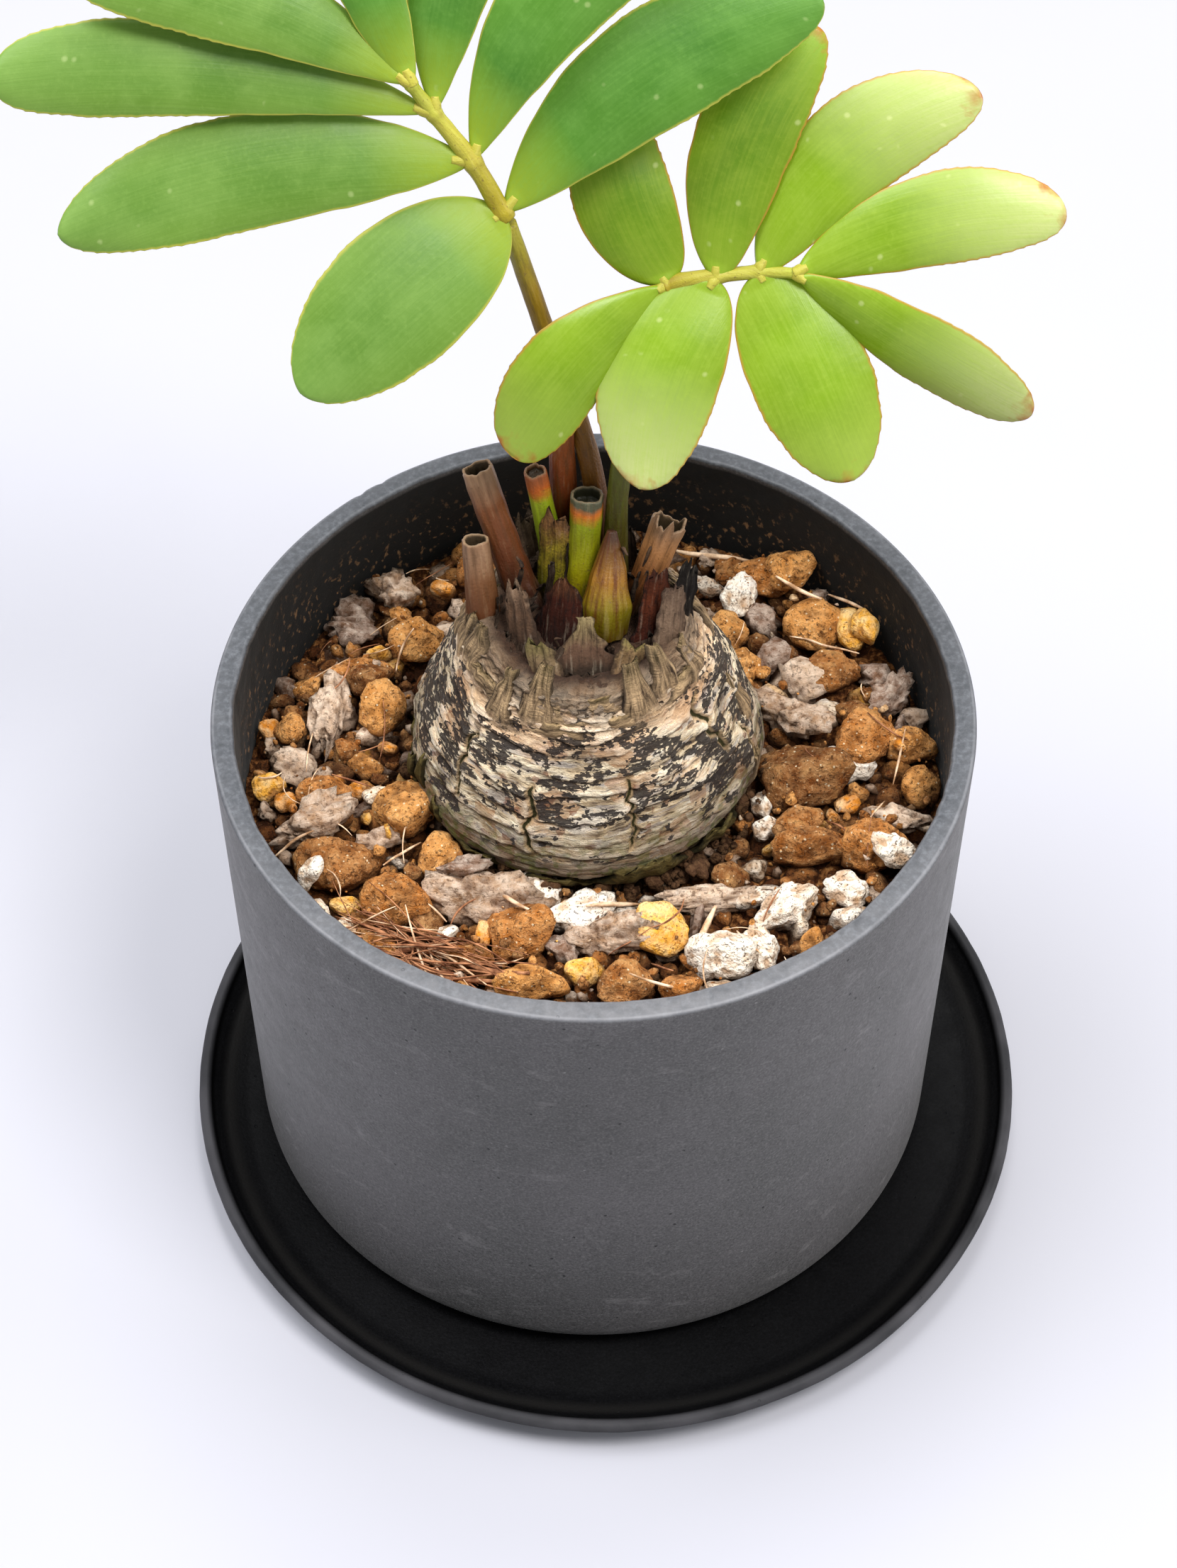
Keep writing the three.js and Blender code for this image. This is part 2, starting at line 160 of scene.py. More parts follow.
def ring_body(rings):
    """A closed body from rings of points, with a fan at each end: its points and faces."""
    rows, columns = rings.shape[:2]
    points = np.concatenate([rings.reshape(-1, 3), [rings[0].mean(0)], [rings[-1].mean(0)]])
    faces = grid_faces(rows, columns).tolist()
    first = rows * columns
    last = (rows - 1) * columns
    for j in range(columns):
        k = (j + 1) % columns
        faces.append((first, k, j))
        faces.append((first + 1, last + j, last + k))
    return points, faces


def closed(values, *ends):
    """A mark for each point of a closed body: a grid of values, then those of its two end points."""
    return np.concatenate([np.reshape(values, (-1, *np.shape(ends[0]))), ends])


def both_sides(values):
    """A grid of values for a blade's upper side and, turned round, for its lower side."""
    return np.concatenate([values, values[:, ::-1]], axis=1)


def add_object(name, data):
    item = bpy.data.objects.new(name, data)
    bpy.context.scene.collection.objects.link(item)
    return item


def add_piece(name, points, faces, slot, shade, replaces=(), marks=None):
    """A mesh piece that rides with the object. marks are named values for each point."""
    mesh = bpy.data.meshes.new(name)
    mesh.from_pydata((np.asarray(points) * MM).tolist(), [], faces)
    for label, values in (marks or {}).items():
        values = np.asarray(values, np.float32)
        kind, field = ("FLOAT", "value") if values.ndim == 1 else ("FLOAT_VECTOR", "vector")
        mesh.attributes.new(label, kind, "POINT").data.foreach_set(field, values.ravel())
    body = bmesh.new()
    body.from_mesh(mesh)
    bmesh.ops.recalc_face_normals(body, faces=body.faces)
    body.to_mesh(mesh)
    body.free()
    mesh.polygons.foreach_set("use_smooth", [True] * len(mesh.polygons))
    mesh.materials.append(shade)
    piece = add_object(name, mesh)
    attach(piece, "root")
    if replaces:
        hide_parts(*replaces)


def spline(centres, count):
    """Points along a smooth curve through the centres, with the curve's direction at each."""
    centres = np.asarray(centres, float)
    ends = np.concatenate([[2 * centres[0] - centres[1]], centres, [2 * centres[-1] - centres[-2]]])
    place = np.linspace(0, len(centres) - 1, count)
    low = np.minimum(place.astype(int), len(centres) - 2)
    t = (place - low)[:, None]
    p0, p1, p2, p3 = (ends[low + k] for k in range(4))
    line = 0.5 * (2 * p1 + (p2 - p0) * t + (2 * p0 - 5 * p1 + 4 * p2 - p3) * t ** 2
                  + (3 * p1 - p0 - 3 * p2 + p3) * t ** 3)
    return line, unit(np.gradient(line, axis=0))


def limb_rings(centres, radii, sides, count, reference=(1, 0, 0)):
    """Rings of a tapering limb, with the places along it from 0 to 1 and the turns round it."""
    line, along = spline(centres, count)
    share = np.linspace(0, 1, count)
    radius = np.interp(share, np.linspace(0, 1, len(radii)), radii)
    across = np.asarray(reference, float) - along * (along @ np.asarray(reference, float))[:, None]
    across = unit(across)
    third = np.cross(along, across)
    turn = np.arange(sides) * 2 * math.pi / sides
    rings = line[:, None] + radius[:, None, None] * (
        across[:, None] * np.cos(turn)[:, None] + third[:, None] * np.sin(turn)[:, None])
    return rings, line, share, turn


# Materials: a small writer for shader nodes

class Shade:
    """A material as it is built up. base is its colour so far, which over and stain paint on."""
    def __init__(self, name, roughness, **fixed):
        self.material = bpy.data.materials.new(name)
        self.material.use_nodes = True
        self.tree = self.material.node_tree
        self.tree.nodes.clear()
        output = self.tree.nodes.new("ShaderNodeOutputMaterial")
        self.skin = self.tree.nodes.new("ShaderNodeBsdfPrincipled")
        self.tree.links.new(self.skin.outputs[0], output.inputs[0])
        self.fix(Roughness=roughness, **fixed)
        place = self.put("TexCoord").outputs["Object"]
        self.place = self.put("VectorMath", {0: place, 3: 1 / MM}, operation="SCALE").outputs[0]

    def fix(self, **fixed):
        for key, value in fixed.items():
            self.skin.inputs[key.replace("_", " ")].default_value = value

    def put(self, kind, values=None, **settings):
        node = self.tree.nodes.new("ShaderNode" + kind)
        for key, value in settings.items():
            setattr(node, key, value)
        for key, value in (values or {}).items():
            self.feed(node.inputs[key], value)
        return node

    def feed(self, socket, value):
        if isinstance(value, bpy.types.NodeSocket):
            self.tree.links.new(value, socket)
        else:
            socket.default_value = value

    def vector(self, operation, a, b):
        return self.put("VectorMath", {0: a, 1: b}, operation=operation).outputs[0]

    def stretch(self, amounts, where=None):
        return self.vector("MULTIPLY", where or self.place, amounts)

    def away(self, where=None):
        """The level distance from the origin."""
        flat = self.stretch((1, 1, 0), where)
        return self.put("VectorMath", {0: flat}, operation="LENGTH").outputs["Value"]

    def noise(self, size, detail=3, where=None, roughness=0.55):
        values = {"Vector": where or self.place, "Scale": 1 / size, "Detail": detail, "Roughness": roughness}
        return self.put("TexNoise", values).outputs["Fac"]

    def cells(self, size, where=None, output="Distance"):
        values = {"Vector": where or self.place, "Scale": 1 / size}
        return self.put("TexVoronoi", values).outputs[output]

    def cell_tones(self, size, where):
        """Two random tones for each cell."""
        return self.put("SeparateXYZ", {0: self.cells(size, where, "Color")}).outputs[:2]

    def bend(self, where, size, amount):
        """The same place, pushed about by noise of that size."""
        colour = self.put("TexNoise", {"Vector": where, "Scale": 1 / size, "Detail": 3}).outputs["Color"]
        centred = self.vector("SUBTRACT", colour, (0.5, 0.5, 0.5))
        push = self.put("VectorMath", {0: centred, 3: amount}, operation="SCALE").outputs[0]
        return self.vector("ADD", where, push)

    def mark(self, name, output="Fac"):
        return self.put("Attribute", attribute_name=name).outputs[output]

    def axis(self, letter):
        return self.put("SeparateXYZ", {0: self.place}).outputs[letter]

    def level(self, value, low, high, start=0, end=1):
        return self.put("MapRange", {0: value, 1: low, 2: high, 3: start, 4: end}).outputs[0]

    def sum(self, a, b, operation="ADD"):
        return self.put("Math", {0: a, 1: b}, operation=operation).outputs[0]

    def times(self, a, b):
        return self.sum(a, b, "MULTIPLY")

    def jitter(self, value, size, detail, amount):
        """The value with noise of that size and amount added."""
        return self.sum(value, self.times(self.noise(size, detail), amount))

    def sway(self, value, size, detail, amount, where=None):
        """The value with noise added that goes up as far as down."""
        noise = self.sum(self.noise(size, detail, where), 0.5, "SUBTRACT")
        return self.sum(value, self.times(noise, amount))

    def ramp(self, value, stops):
        node = self.put("ValToRGB", {0: value})
        elements = node.color_ramp.elements
        while len(elements) < len(stops):
            elements.new(0.5)
        for element, (place, colour) in zip(elements, stops):
            element.position = place
            element.color = rgb(colour)
        return node.outputs[0]

    def mix(self, share, a, b, blend="MIX"):
        node = self.put("Mix", data_type="RGBA", blend_type=blend)
        for socket, value in ((0, share), (6, a), (7, b)):
            self.feed(node.inputs[socket], rgb(value) if isinstance(value, str) else value)
        return node.outputs[2]

    def over(self, share, colour):
        self.base = self.mix(share, self.base, colour)

    def stain(self, colour, value, low, high, amount=1):
        """Turns the base to that colour as the value goes from low to high."""
        self.over(self.level(value, low, high, 0, amount), colour)

    def gloss(self, value):
        self.feed(self.skin.inputs["Roughness"], value)

    def bump(self, height, depth, strength=1):
        values = {"Strength": strength, "Distance": depth * MM, "Height": height}
        self.feed(self.skin.inputs["Normal"], self.put("Bump", values).outputs[0])

    def done(self):
        self.feed(self.skin.inputs["Base Color"], self.base)
        return self.material


# Pot and saucer

def arc(centre, radius, start, end, steps):
    turn = np.radians(np.linspace(start, end, steps))
    return [(centre[0] + radius * math.cos(a), centre[1] + radius * math.sin(a)) for a in turn]


def divide(profile, longest):
    """The same profile with no step longer than longest."""
    points = [profile[0]]
    for start, end in zip(profile, profile[1:]):
        count = max(1, math.ceil(math.dist(start, end) / longest))
        points += [tuple(np.add(start, np.subtract(end, start) * k / count)) for k in range(1, count + 1)]
    return points


def turned(profile, sides):
    profile = np.array(profile)
    turn = np.arange(sides) * 2 * math.pi / sides
    return round_line(profile[:, :1], turn, profile[:, 1:])


def charcoal(name, dark, pale, grit, roughness, specular):
    """Fired clay with grit, specks and pinholes."""
    s = Shade(name, roughness, Specular_IOR_Level=specular)
    s.base = s.mix(s.level(s.noise(30, 3), 0.35, 0.65), dark, pale)
    grain = s.noise(0.42, 3, roughness=0.7)
    s.stain(grit, grain, 0.5, 0.72, 0.4)
    s.stain(s.mix(1, s.base, "707070", "MULTIPLY"), grain, 0.46, 0.3, 0.6)
    speck = s.times(s.level(s.cells(1.9), 0.14, 0.1), s.level(s.noise(2.6, 2), 0.64, 0.68))
    s.over(s.times(speck, 0.6), grit)
    pin = s.times(s.level(s.cells(3.6), 0.08, 0.055), s.level(s.noise(9, 2), 0.4, 0.5))
    s.over(s.times(pin, 0.9), "0a0a0c")
    s.bump(s.sum(s.noise(0.5, 3), s.times(pin, -2)), 0.07, 0.8)
    return s


def pot_material():
    s = charcoal("pot_clay", "434242", "4b494a", "7a7878", 0.55, 0.35)
    height = s.axis(2)
    # Faint rubbed streaks
    streak = s.noise(5, 3, s.stretch((0.35, 1, 1.3), s.bend(s.place, 30, 14)), 0.7)
    s.stain("a09c9c", streak, 0.6, 0.75, 0.18)
    # The inner wall is painted near-black as painted shade, with dust near the soil
    wall = s.times(s.level(s.away(), 57.6, 57.2), s.level(height, 100.2, 99.6))
    s.over(s.times(wall, 0.97), "050504")
    dust = s.level(s.noise(1.1, 5, s.stretch((1, 1, 0.8))), 0.58, 0.68)
    low = s.level(s.jitter(height, 9, 3, 16), 106, 94)
    s.over(s.times(s.times(dust, low), s.times(wall, 0.7)), "94704c")
    # The lip's top is a worn, mottled grey; its front is painted lighter and its edges paler, both painted
    # highlight
    top = s.level(height, POT_TOP - 0.7, POT_TOP - 0.3)
    worn = s.ramp(s.noise(1.1, 5, roughness=0.7), [(0.3, "262b31"), (0.5, "3c4046"), (0.66, "565a60")])
    s.over(s.times(top, 0.8), worn)
    # Painted highlight: the front of the lip's top is painted lighter
    front_highlight = s.times(s.level(s.axis(1), -20, -58, 0, 0.4), s.level(s.noise(2.4, 4), 0.36, 0.6, 0.5, 1))
    s.over(s.times(top, front_highlight), "7e7c7e")
    # Painted highlight along both edges of the lip
    edge = s.times(s.mark("edge"), s.level(s.noise(7, 4), 0.3, 0.55, 0.4, 1))
    s.over(s.times(edge, 0.5), "8c8c90")
    s.gloss(s.sum(s.level(s.noise(3, 4), 0.3, 0.7, 0.46, 0.58), s.times(wall, 0.3)))
    s.fix(Sheen_Weight=0.04, Sheen_Roughness=0.4)
    return s.done()


def pot():
    inner_top = POT_RIM_RADIUS - POT_WALL
    inner_foot = POT_FOOT_RADIUS - POT_WALL
    floor = POT_FOOT + POT_FLOOR
    outer = arc((POT_FOOT_RADIUS - POT_CORNER, POT_FOOT + POT_CORNER), POT_CORNER, -90, 0, 12)
    lip_out = arc((POT_RIM_RADIUS - RIM_ROUND, POT_TOP - RIM_ROUND), RIM_ROUND, 0, 90, 8)
    lip_in = arc((inner_top + RIM_ROUND, POT_TOP - RIM_ROUND), RIM_ROUND, 90, 180, 8)
    inner = arc((inner_foot - POT_CORNER, floor + POT_CORNER), POT_CORNER, 0, -90, 8)
    wall = divide([outer[-1], lip_out[0]], 2.4)
    face = divide([lip_in[-1], (inner_top - 0.3, 76)], 0.8)
    profile = (divide([(0.4, POT_FOOT), outer[0]], 6) + outer[1:-1] + wall[:-1] + lip_out
               + lip_in + face[1:] + divide([face[-1], inner[0]], 8)[1:-1] + inner + [(0.4, floor)])
    rings = turned(profile, TURNED_SIDES)
    points = rings.reshape(-1, 3)
    away = np.hypot(points[:, 0], points[:, 1])
    outward = points * (1, 1, 0) / away[:, None]
    around = outward * 60
    # The outside is not quite true, and the inside less so
    sway = 0.08 * wander(around, 34, 3) - 0.1
    inside = smooth_step(away, 58.2, 57) * smooth_step(points[:, 2], 40, 70)
    ripple = inside * (0.16 * wander(around, 9, 8) + 0.12 * rough(points, 2.2, 9, 2))
    points += outward * (sway - ripple)[:, None] * smooth_step(away, 20, 50)[:, None]
    lip = smooth_step(points[:, 2], POT_TOP - 2.5, POT_TOP - 0.6)
    points[:, 2] += lip * (0.05 * wander(around, 18, 4) - 0.07)
    # Small chips along both edges of the lip
    random = np.random.default_rng(4)
    for _ in range(LIP_CHIPS):
        turn = random.uniform(0, 2 * math.pi)
        edge = POT_RIM_RADIUS - 0.3 if random.random() < 0.4 else inner_top + 0.3
        chip = edge * heading(turn) + (0, 0, POT_TOP - 0.3)
        size = random.uniform(0.5, 1)
        near = np.exp(-(np.linalg.norm((points - chip) * (1, 1, 1.3), axis=1) / size) ** 2)
        middle = unit(chip * (1, 1, 0)) * (POT_RIM_RADIUS - POT_WALL / 2) + (0, 0, POT_TOP - 3)
        points += unit(middle - points) * (near * random.uniform(0.1, 0.35))[:, None]
    # edge marks both edges of the lip, where the skin paints a highlight
    edge = np.exp(-((away - POT_RIM_RADIUS + 0.4) / 0.25) ** 2) * lip
    edge += 0.5 * np.exp(-((away - inner_top - 0.4) / 0.2) ** 2) * lip
    points, faces = ring_body(points.reshape(rings.shape))
    add_piece("pot_body", points, faces, "pot", pot_material(), ["pot"], {"edge": closed(edge, 0, 0)})


def saucer_material():
    s = charcoal("saucer_clay", "060607", "0a0a0b", "161618", 0.5, 0.06)
    away = s.away(s.vector("SUBTRACT", s.place, (*SAUCER_OFFSET, 0)))
    # The lip is painted lighter: a painted highlight where it catches the light
    lip = s.level(away, SAUCER_RADIUS - 2.4, SAUCER_RADIUS - 1.5)
    s.over(s.times(lip, 0.9), s.mix(s.level(s.noise(16, 3), 0.35, 0.65), "2e2e30", "464548"))
    # A faint lighter ring on the inner slope: a painted reflection
    sheen_ring = s.times(s.level(away, 65, 66.4), s.level(away, 68.4, 67))
    s.over(s.times(sheen_ring, 0.6), "1a1918")
    s.gloss(s.level(s.noise(4, 4), 0.3, 0.7, 0.4, 0.55))
    return s.done()


def saucer():
    foot = SAUCER_FLOOR_RADIUS - 0.5
    lip = arc((SAUCER_RADIUS - SAUCER_LIP / 2, SAUCER_TOP - SAUCER_LIP / 2), SAUCER_LIP / 2, 0, 180, 14)
    inner = [(SAUCER_RADIUS - SAUCER_LIP - 0.5, SAUCER_FLOOR + 2.6),
             (SAUCER_RADIUS - SAUCER_LIP - 2, SAUCER_FLOOR + 1.3),
             (SAUCER_RADIUS - SAUCER_LIP - 4.4, SAUCER_FLOOR + 0.45),
             (SAUCER_FLOOR_RADIUS + 1.2, SAUCER_FLOOR + 0.05)]
    profile = (divide([(0.4, 0), (foot, 0)], 8) + divide([(foot, 0), (foot + 3.2, 0.6)], 1)[1:]
               + divide([(foot + 3.2, 0.6), (SAUCER_RADIUS - 1.6, 3.4), lip[0]], 1)[1:-1] + lip
               + divide([lip[-1], *inner, (SAUCER_FLOOR_RADIUS, SAUCER_FLOOR)], 0.8)[1:]
               + divide([(SAUCER_FLOOR_RADIUS, SAUCER_FLOOR), (0.4, SAUCER_FLOOR)], 5)[1:])
    rings = turned(profile, TURNED_SIDES)
    points = rings.reshape(-1, 3)
    away = np.hypot(points[:, 0], points[:, 1])
    outward = points * (1, 1, 0) / away[:, None]
    rim = smooth_step(away, 66, 71)
    uneven = 0.12 * wander(outward * 70, 22, 31) + 0.04 * rough(points, 3, 32, 2) - 0.18
    points += outward * (rim * uneven)[:, None]
    points[:, 2] += rim * smooth_step(points[:, 2], 2, 6) * (0.12 * wander(outward * 70, 15, 33) - 0.14)
    points += (*SAUCER_OFFSET, 0)
    points, faces = ring_body(points.reshape(rings.shape))
    add_piece("saucer_body", points, faces, "saucer", saucer_material(), ["saucer"])


# Soil: a dark bed under loose stones, crumbs and fibres

# The largest stones, as they lie in the photograph: x, y, length, width and turn in degrees
STONES = {
    "clay": [(-30, 28, 8.3, 7.5, 0), (-39, 21, 9.5, 5.7, 10), (-34, 13, 7.9, 7.9, 0),
             (-43, -4, 7.8, 7.3, 0), (-30, -8, 10, 10.5, 0), (-40, -19, 12.3, 9.4, 0),
             (-24, -17, 7.4, 6.9, 0), (-31, -26, 9.3, 10.3, 0), (-26, -29, 4.4, 6.1, 0),
             (-11, -32, 9, 8, 0), (-10, -41, 9.8, 6.5, 0), (5, -41, 9.1, 6.6, 0),
             (13, -42, 6, 4.6, 0), (44, -15, 9.4, 9.4, 0), (34, -15, 10.9, 6.8, 0), (21, -20, 5.7, 4.9, 0),
             (34, -2, 13, 9, 0), (44, 7, 10.4, 7.9, 0), (51, 6, 7, 6.6, 0), (39, 22, 10.3, 6, 0),
             (36, 32, 10.2, 8.6, 0), (29, 43, 9.5, 6.5, 0), (33, 41, 6.7, 6.1, 0), (22, 30, 7.8, 6.5, 0),
             (52, -1, 6, 7.1, 0), (43, 13, 6.4, 5.1, 0), (32, -10, 7.5, 5, 20), (-37, 18, 6.4, 5.1, 0),
             (24, 23, 6.4, 5.7, 0), (-19, -36, 6, 4.8, 0)],
    "bark": [(-42, 35, 10.5, 6.6, 0), (-33, 39, 6.6, 7.2, 60), (-42, 13, 10.9, 5.1, 85),
             (-48, 3, 9.6, 6.8, -10), (-45, -11, 11.4, 6.5, 25), (-18, -25, 13.7, 8.8, -20),
             (2, -32, 9.7, 6.3, -10), (18, -25, 12.7, 3.2, 8),
             (32, 12, 8.4, 10.7, 50), (34, 19, 6.7, 6.4, 0), (28, 34, 6.5, 5.5, 0), (48, 21, 7.2, 4.6, 0),
             (49, 16, 5.1, 6.7, -60), (28, 3, 3.8, 5.3, 0), (49, -9, 7.7, 4.2, -15), (-34, -14, 5, 3.7, 0),
             (-21, -21, 7.4, 2.9, 5), (16, -30, 8.5, 2.7, 70)],
    "pumice": [(-44, -23, 4.2, 3.7, 40), (-9, -23.5, 5.6, 6.4, -40),
               (-23, -31, 3.2, 3.2, 0), (-3, -28, 10, 5.1, 20),
               (20, -36, 7.5, 6, 0), (26, -34, 6, 6.8, 0), (30, -27, 6.1, 9.5, -60), (26, -23, 7.4, 4.2, 30),
               (40, -23, 6.9, 5.2, 0), (39, -28, 4.4, 3.7, 0), (40, 3, 7.8, 5.1, -20),
               (24, 38, 6.6, 5.5, -20), (19, 42, 3.4, 5.5, 60), (27, -11, 3.7, 3.2, 0), (27, -6, 3.5, 3.7, 0),
               (47, -18, 4.9, 6.9, 60)],
    "kanuma": [(-25, 40, 4.2, 4, 0), (-40, 28, 3.4, 3.1, 0), (-36, 26, 3.4, 3.1, 0), (-33, 6, 3.3, 2.8, 0),
               (-53, 10, 3.8, 3.8, 0), (-52, -2, 5.5, 4.5, 70), (-49, -5, 4.3, 3, 60),
               (-39, -26, 4.9, 2.9, 0),
               (-17, -32, 3.2, 3.2, 0), (-2, -38, 6, 4.6, 0), (10, -31, 11.2, 6.3, 10), (43, 30, 6, 6, 0),
               (46, 29, 4.7, 5.5, 0)]
}
TINTS = {
    "humus": ["4c3424", "2e1c10"],
    "clay": ["e49c50", "c87c36", "a2622a", "78441a"],
    "bark": ["f0ccaa", "cca27c", "98725a"],
    "pumice": ["fbeedc", "f0dcc2", "d8b68c"],
    "kanuma": ["eeac3c", "de8a22"]
}
# How often each kind turns up among the stones placed by chance
SHARES = {"clay": 0.58, "bark": 0.22, "pumice": 0.12, "kanuma": 0.08}
# Stones keep this far from the trunk's axis
TRUNK_CLEAR = 26
LOWER_TRIES = 5200
SMALL_TRIES = 9000
SMALL_STONES = 430
# Cutting a lump's faces makes it smaller, so each kind starts this much too large
GROWN = {"clay": 1.14, "bark": 1.08, "pumice": 1.18, "kanuma": 1.12}
CRUMBS = 1700
HUMUS_CRUMBS = 260
HEAP_STEP = 0.6


def icosphere(level):
    body = bmesh.new()
    bmesh.ops.create_icosphere(body, subdivisions=level, radius=1)
    points = np.array([v.co[:] for v in body.verts])
    faces = np.array([[v.index for v in f.verts] for f in body.faces])
    body.free()
    return points, faces


SPHERES = {level: icosphere(level) for level in (1, 2, 3, 4)}


def chunk(sphere, seed, faces, keen, least=0.66):
    """An angular lump: the sphere cut by flat faces, with softened edges."""
    random = np.random.default_rng(seed)
    normals = unit(random.normal(size=(faces, 3)))
    reach = random.uniform(least, 1.0, faces)
    near = np.maximum(sphere @ normals.T / reach, 0)
    return sphere / ((near ** keen).sum(1) ** (1 / keen))[:, None].clip(0.75)


def stone_shape(kind, level, seed):
    """A unit stone of that kind."""
    sphere, faces = SPHERES[level]
    kind = "clay" if kind == "humus" else kind
    if kind == "bark":
        box = chunk(sphere / np.linalg.norm(sphere, ord=4, axis=1, keepdims=True), seed, 9, 7)
        grain = 0.13 * wander(box * (0.5, 3, 3), 0.5, seed)
        grain += 0.09 * wander(box * (0.7, 6, 6), 0.5, seed + 3)
        ends = np.abs(box[:, 0]) ** 3 * wander(box * (0.4, 4, 4), 0.6, seed + 5) * 0.2
        relief = 3 * (grain + 0.15 * rough(box, 0.26, seed + 2, 3))
        fluff = 0.22 * rough(box, 0.8, seed + 1) + 0.2 * rough(box, 0.3, seed + 2, 3)
        box = box * (1 + grain + fluff)[:, None]
        return box + places(ends * np.sign(box[:, 0]), 0, 0), faces, relief
    body = {"clay": chunk(sphere, seed, 20, 6, 0.84), "pumice": chunk(sphere, seed, 12, 7),
            "kanuma": chunk(sphere, seed, 12, 6)}[kind]
    swell = {
        "clay": 0.1 * wander(sphere, 0.8, seed) + 0.09 * rough(sphere, 0.3, seed + 1, 3),
        "pumice": 0.16 * wander(sphere, 0.7, seed) + 0.12 * rough(sphere, 0.34, seed + 1, 3),
        "kanuma": 0.18 * wander(sphere, 0.8, seed) + 0.06 * rough(sphere, 0.4, seed + 1, 2)
    }[kind]
    if kind == "pumice":
        swell = swell - 0.25 * np.maximum(0, wander(sphere, 0.24, seed + 2) - 0.25)
    return body * (1 + swell)[:, None], faces, 4 * swell


class Heap:
    """The height of the soil over a grid, so that each stone lies on the ones before."""
    def __init__(self):
        self.line = np.arange(-SOIL_RADIUS - 2, SOIL_RADIUS + 2, HEAP_STEP)
        self.height = np.full((len(self.line), len(self.line)), BED_LEVEL)

    def near(self, x, y, reach):
        i = slice(*np.searchsorted(self.line, [x - reach, x + reach]))
        j = slice(*np.searchsorted(self.line, [y - reach, y + reach]))
        gx, gy = np.meshgrid(self.line[i] - x, self.line[j] - y, indexing="ij")
        return i, j, gx, gy

    def level(self, x, y, reach, share=0.6):
        reach = max(reach, HEAP_STEP * 1.5)
        i, j, gx, gy = self.near(x, y, reach)
        patch = self.height[i, j][np.hypot(gx, gy) <= reach]
        return float(np.quantile(patch, share))

    def cover(self, x, y, z, radii, turn):
        i, j, gx, gy = self.near(x, y, max(radii))
        u = (gx * math.cos(turn) + gy * math.sin(turn)) / radii[0]
        v = (gy * math.cos(turn) - gx * math.sin(turn)) / radii[1]
        inside = np.maximum(0, 1 - u * u - v * v)
        top = np.where(inside > 0, z + radii[2] * np.sqrt(inside), -1e3)
        self.height[i, j] = np.maximum(self.height[i, j], top)


def turn_matrix(turn, lean, roll):
    cz, sz, cx, sx = math.cos(turn), math.sin(turn), math.cos(lean), math.sin(lean)
    cy, sy = math.cos(roll), math.sin(roll)
    about_z = np.array([[cz, -sz, 0], [sz, cz, 0], [0, 0, 1]])
    about_x = np.array([[1, 0, 0], [0, cx, -sx], [0, sx, cx]])
    about_y = np.array([[cy, 0, sy], [0, 1, 0], [-sy, 0, cy]])
    return about_z @ about_x @ about_y


class Gravel:
    """Collects stones by kind and tint, in lots that soil() later joins into one piece each."""
    def __init__(self, seed):
        self.random = np.random.default_rng(seed)
        self.heap = Heap()
        self.lots = {(kind, tint): [] for kind in TINTS for tint in range(len(TINTS[kind]))}
        self.shapes = {}

    def shape(self, kind, level):
        variant = int(self.random.integers(7))
        key = (kind, level, variant)
        if key not in self.shapes:
            self.shapes[key] = stone_shape(kind, level, 40 + 11 * variant)
        return self.shapes[key]

    def lay(self, kind, x, y, radii, turn, sink, tilt, highest=89.0, finest=4, tint=None):
        random = self.random
        size = max(radii)
        level = min(finest, 4 if size > 3.5 else 3 if size > 1.6 else 2 if size > 0.75 else 1)
        points, faces, relief = self.shape(kind, level)
        z = self.heap.level(x, y, 0.6 * min(radii[:2])) + radii[2] * sink
        z = min(z, highest - radii[2])
        lean, roll = random.normal(0, tilt, 2)
        placed = (points * radii) @ turn_matrix(turn, lean, roll).T + (x, y, z)
        chance = min(int(len(TINTS[kind]) * random.random() ** 1.1), len(TINTS[kind]) - 1)
        tint = chance if tint is None else tint
        self.lots[kind, tint].append((placed, faces, relief))
        self.heap.cover(x, y, z, np.array(radii), turn)

    def chance_kind(self):
        return str(self.random.choice(list(SHARES), p=list(SHARES.values())))


def from_trunk(x, y):
    return math.hypot(x - TRUNK_AXIS[0], y - TRUNK_AXIS[1])


def chance_place(random, reach):
    away = reach * math.sqrt(random.random())
    return away * heading(random.uniform(0, 2 * math.pi))[:2]


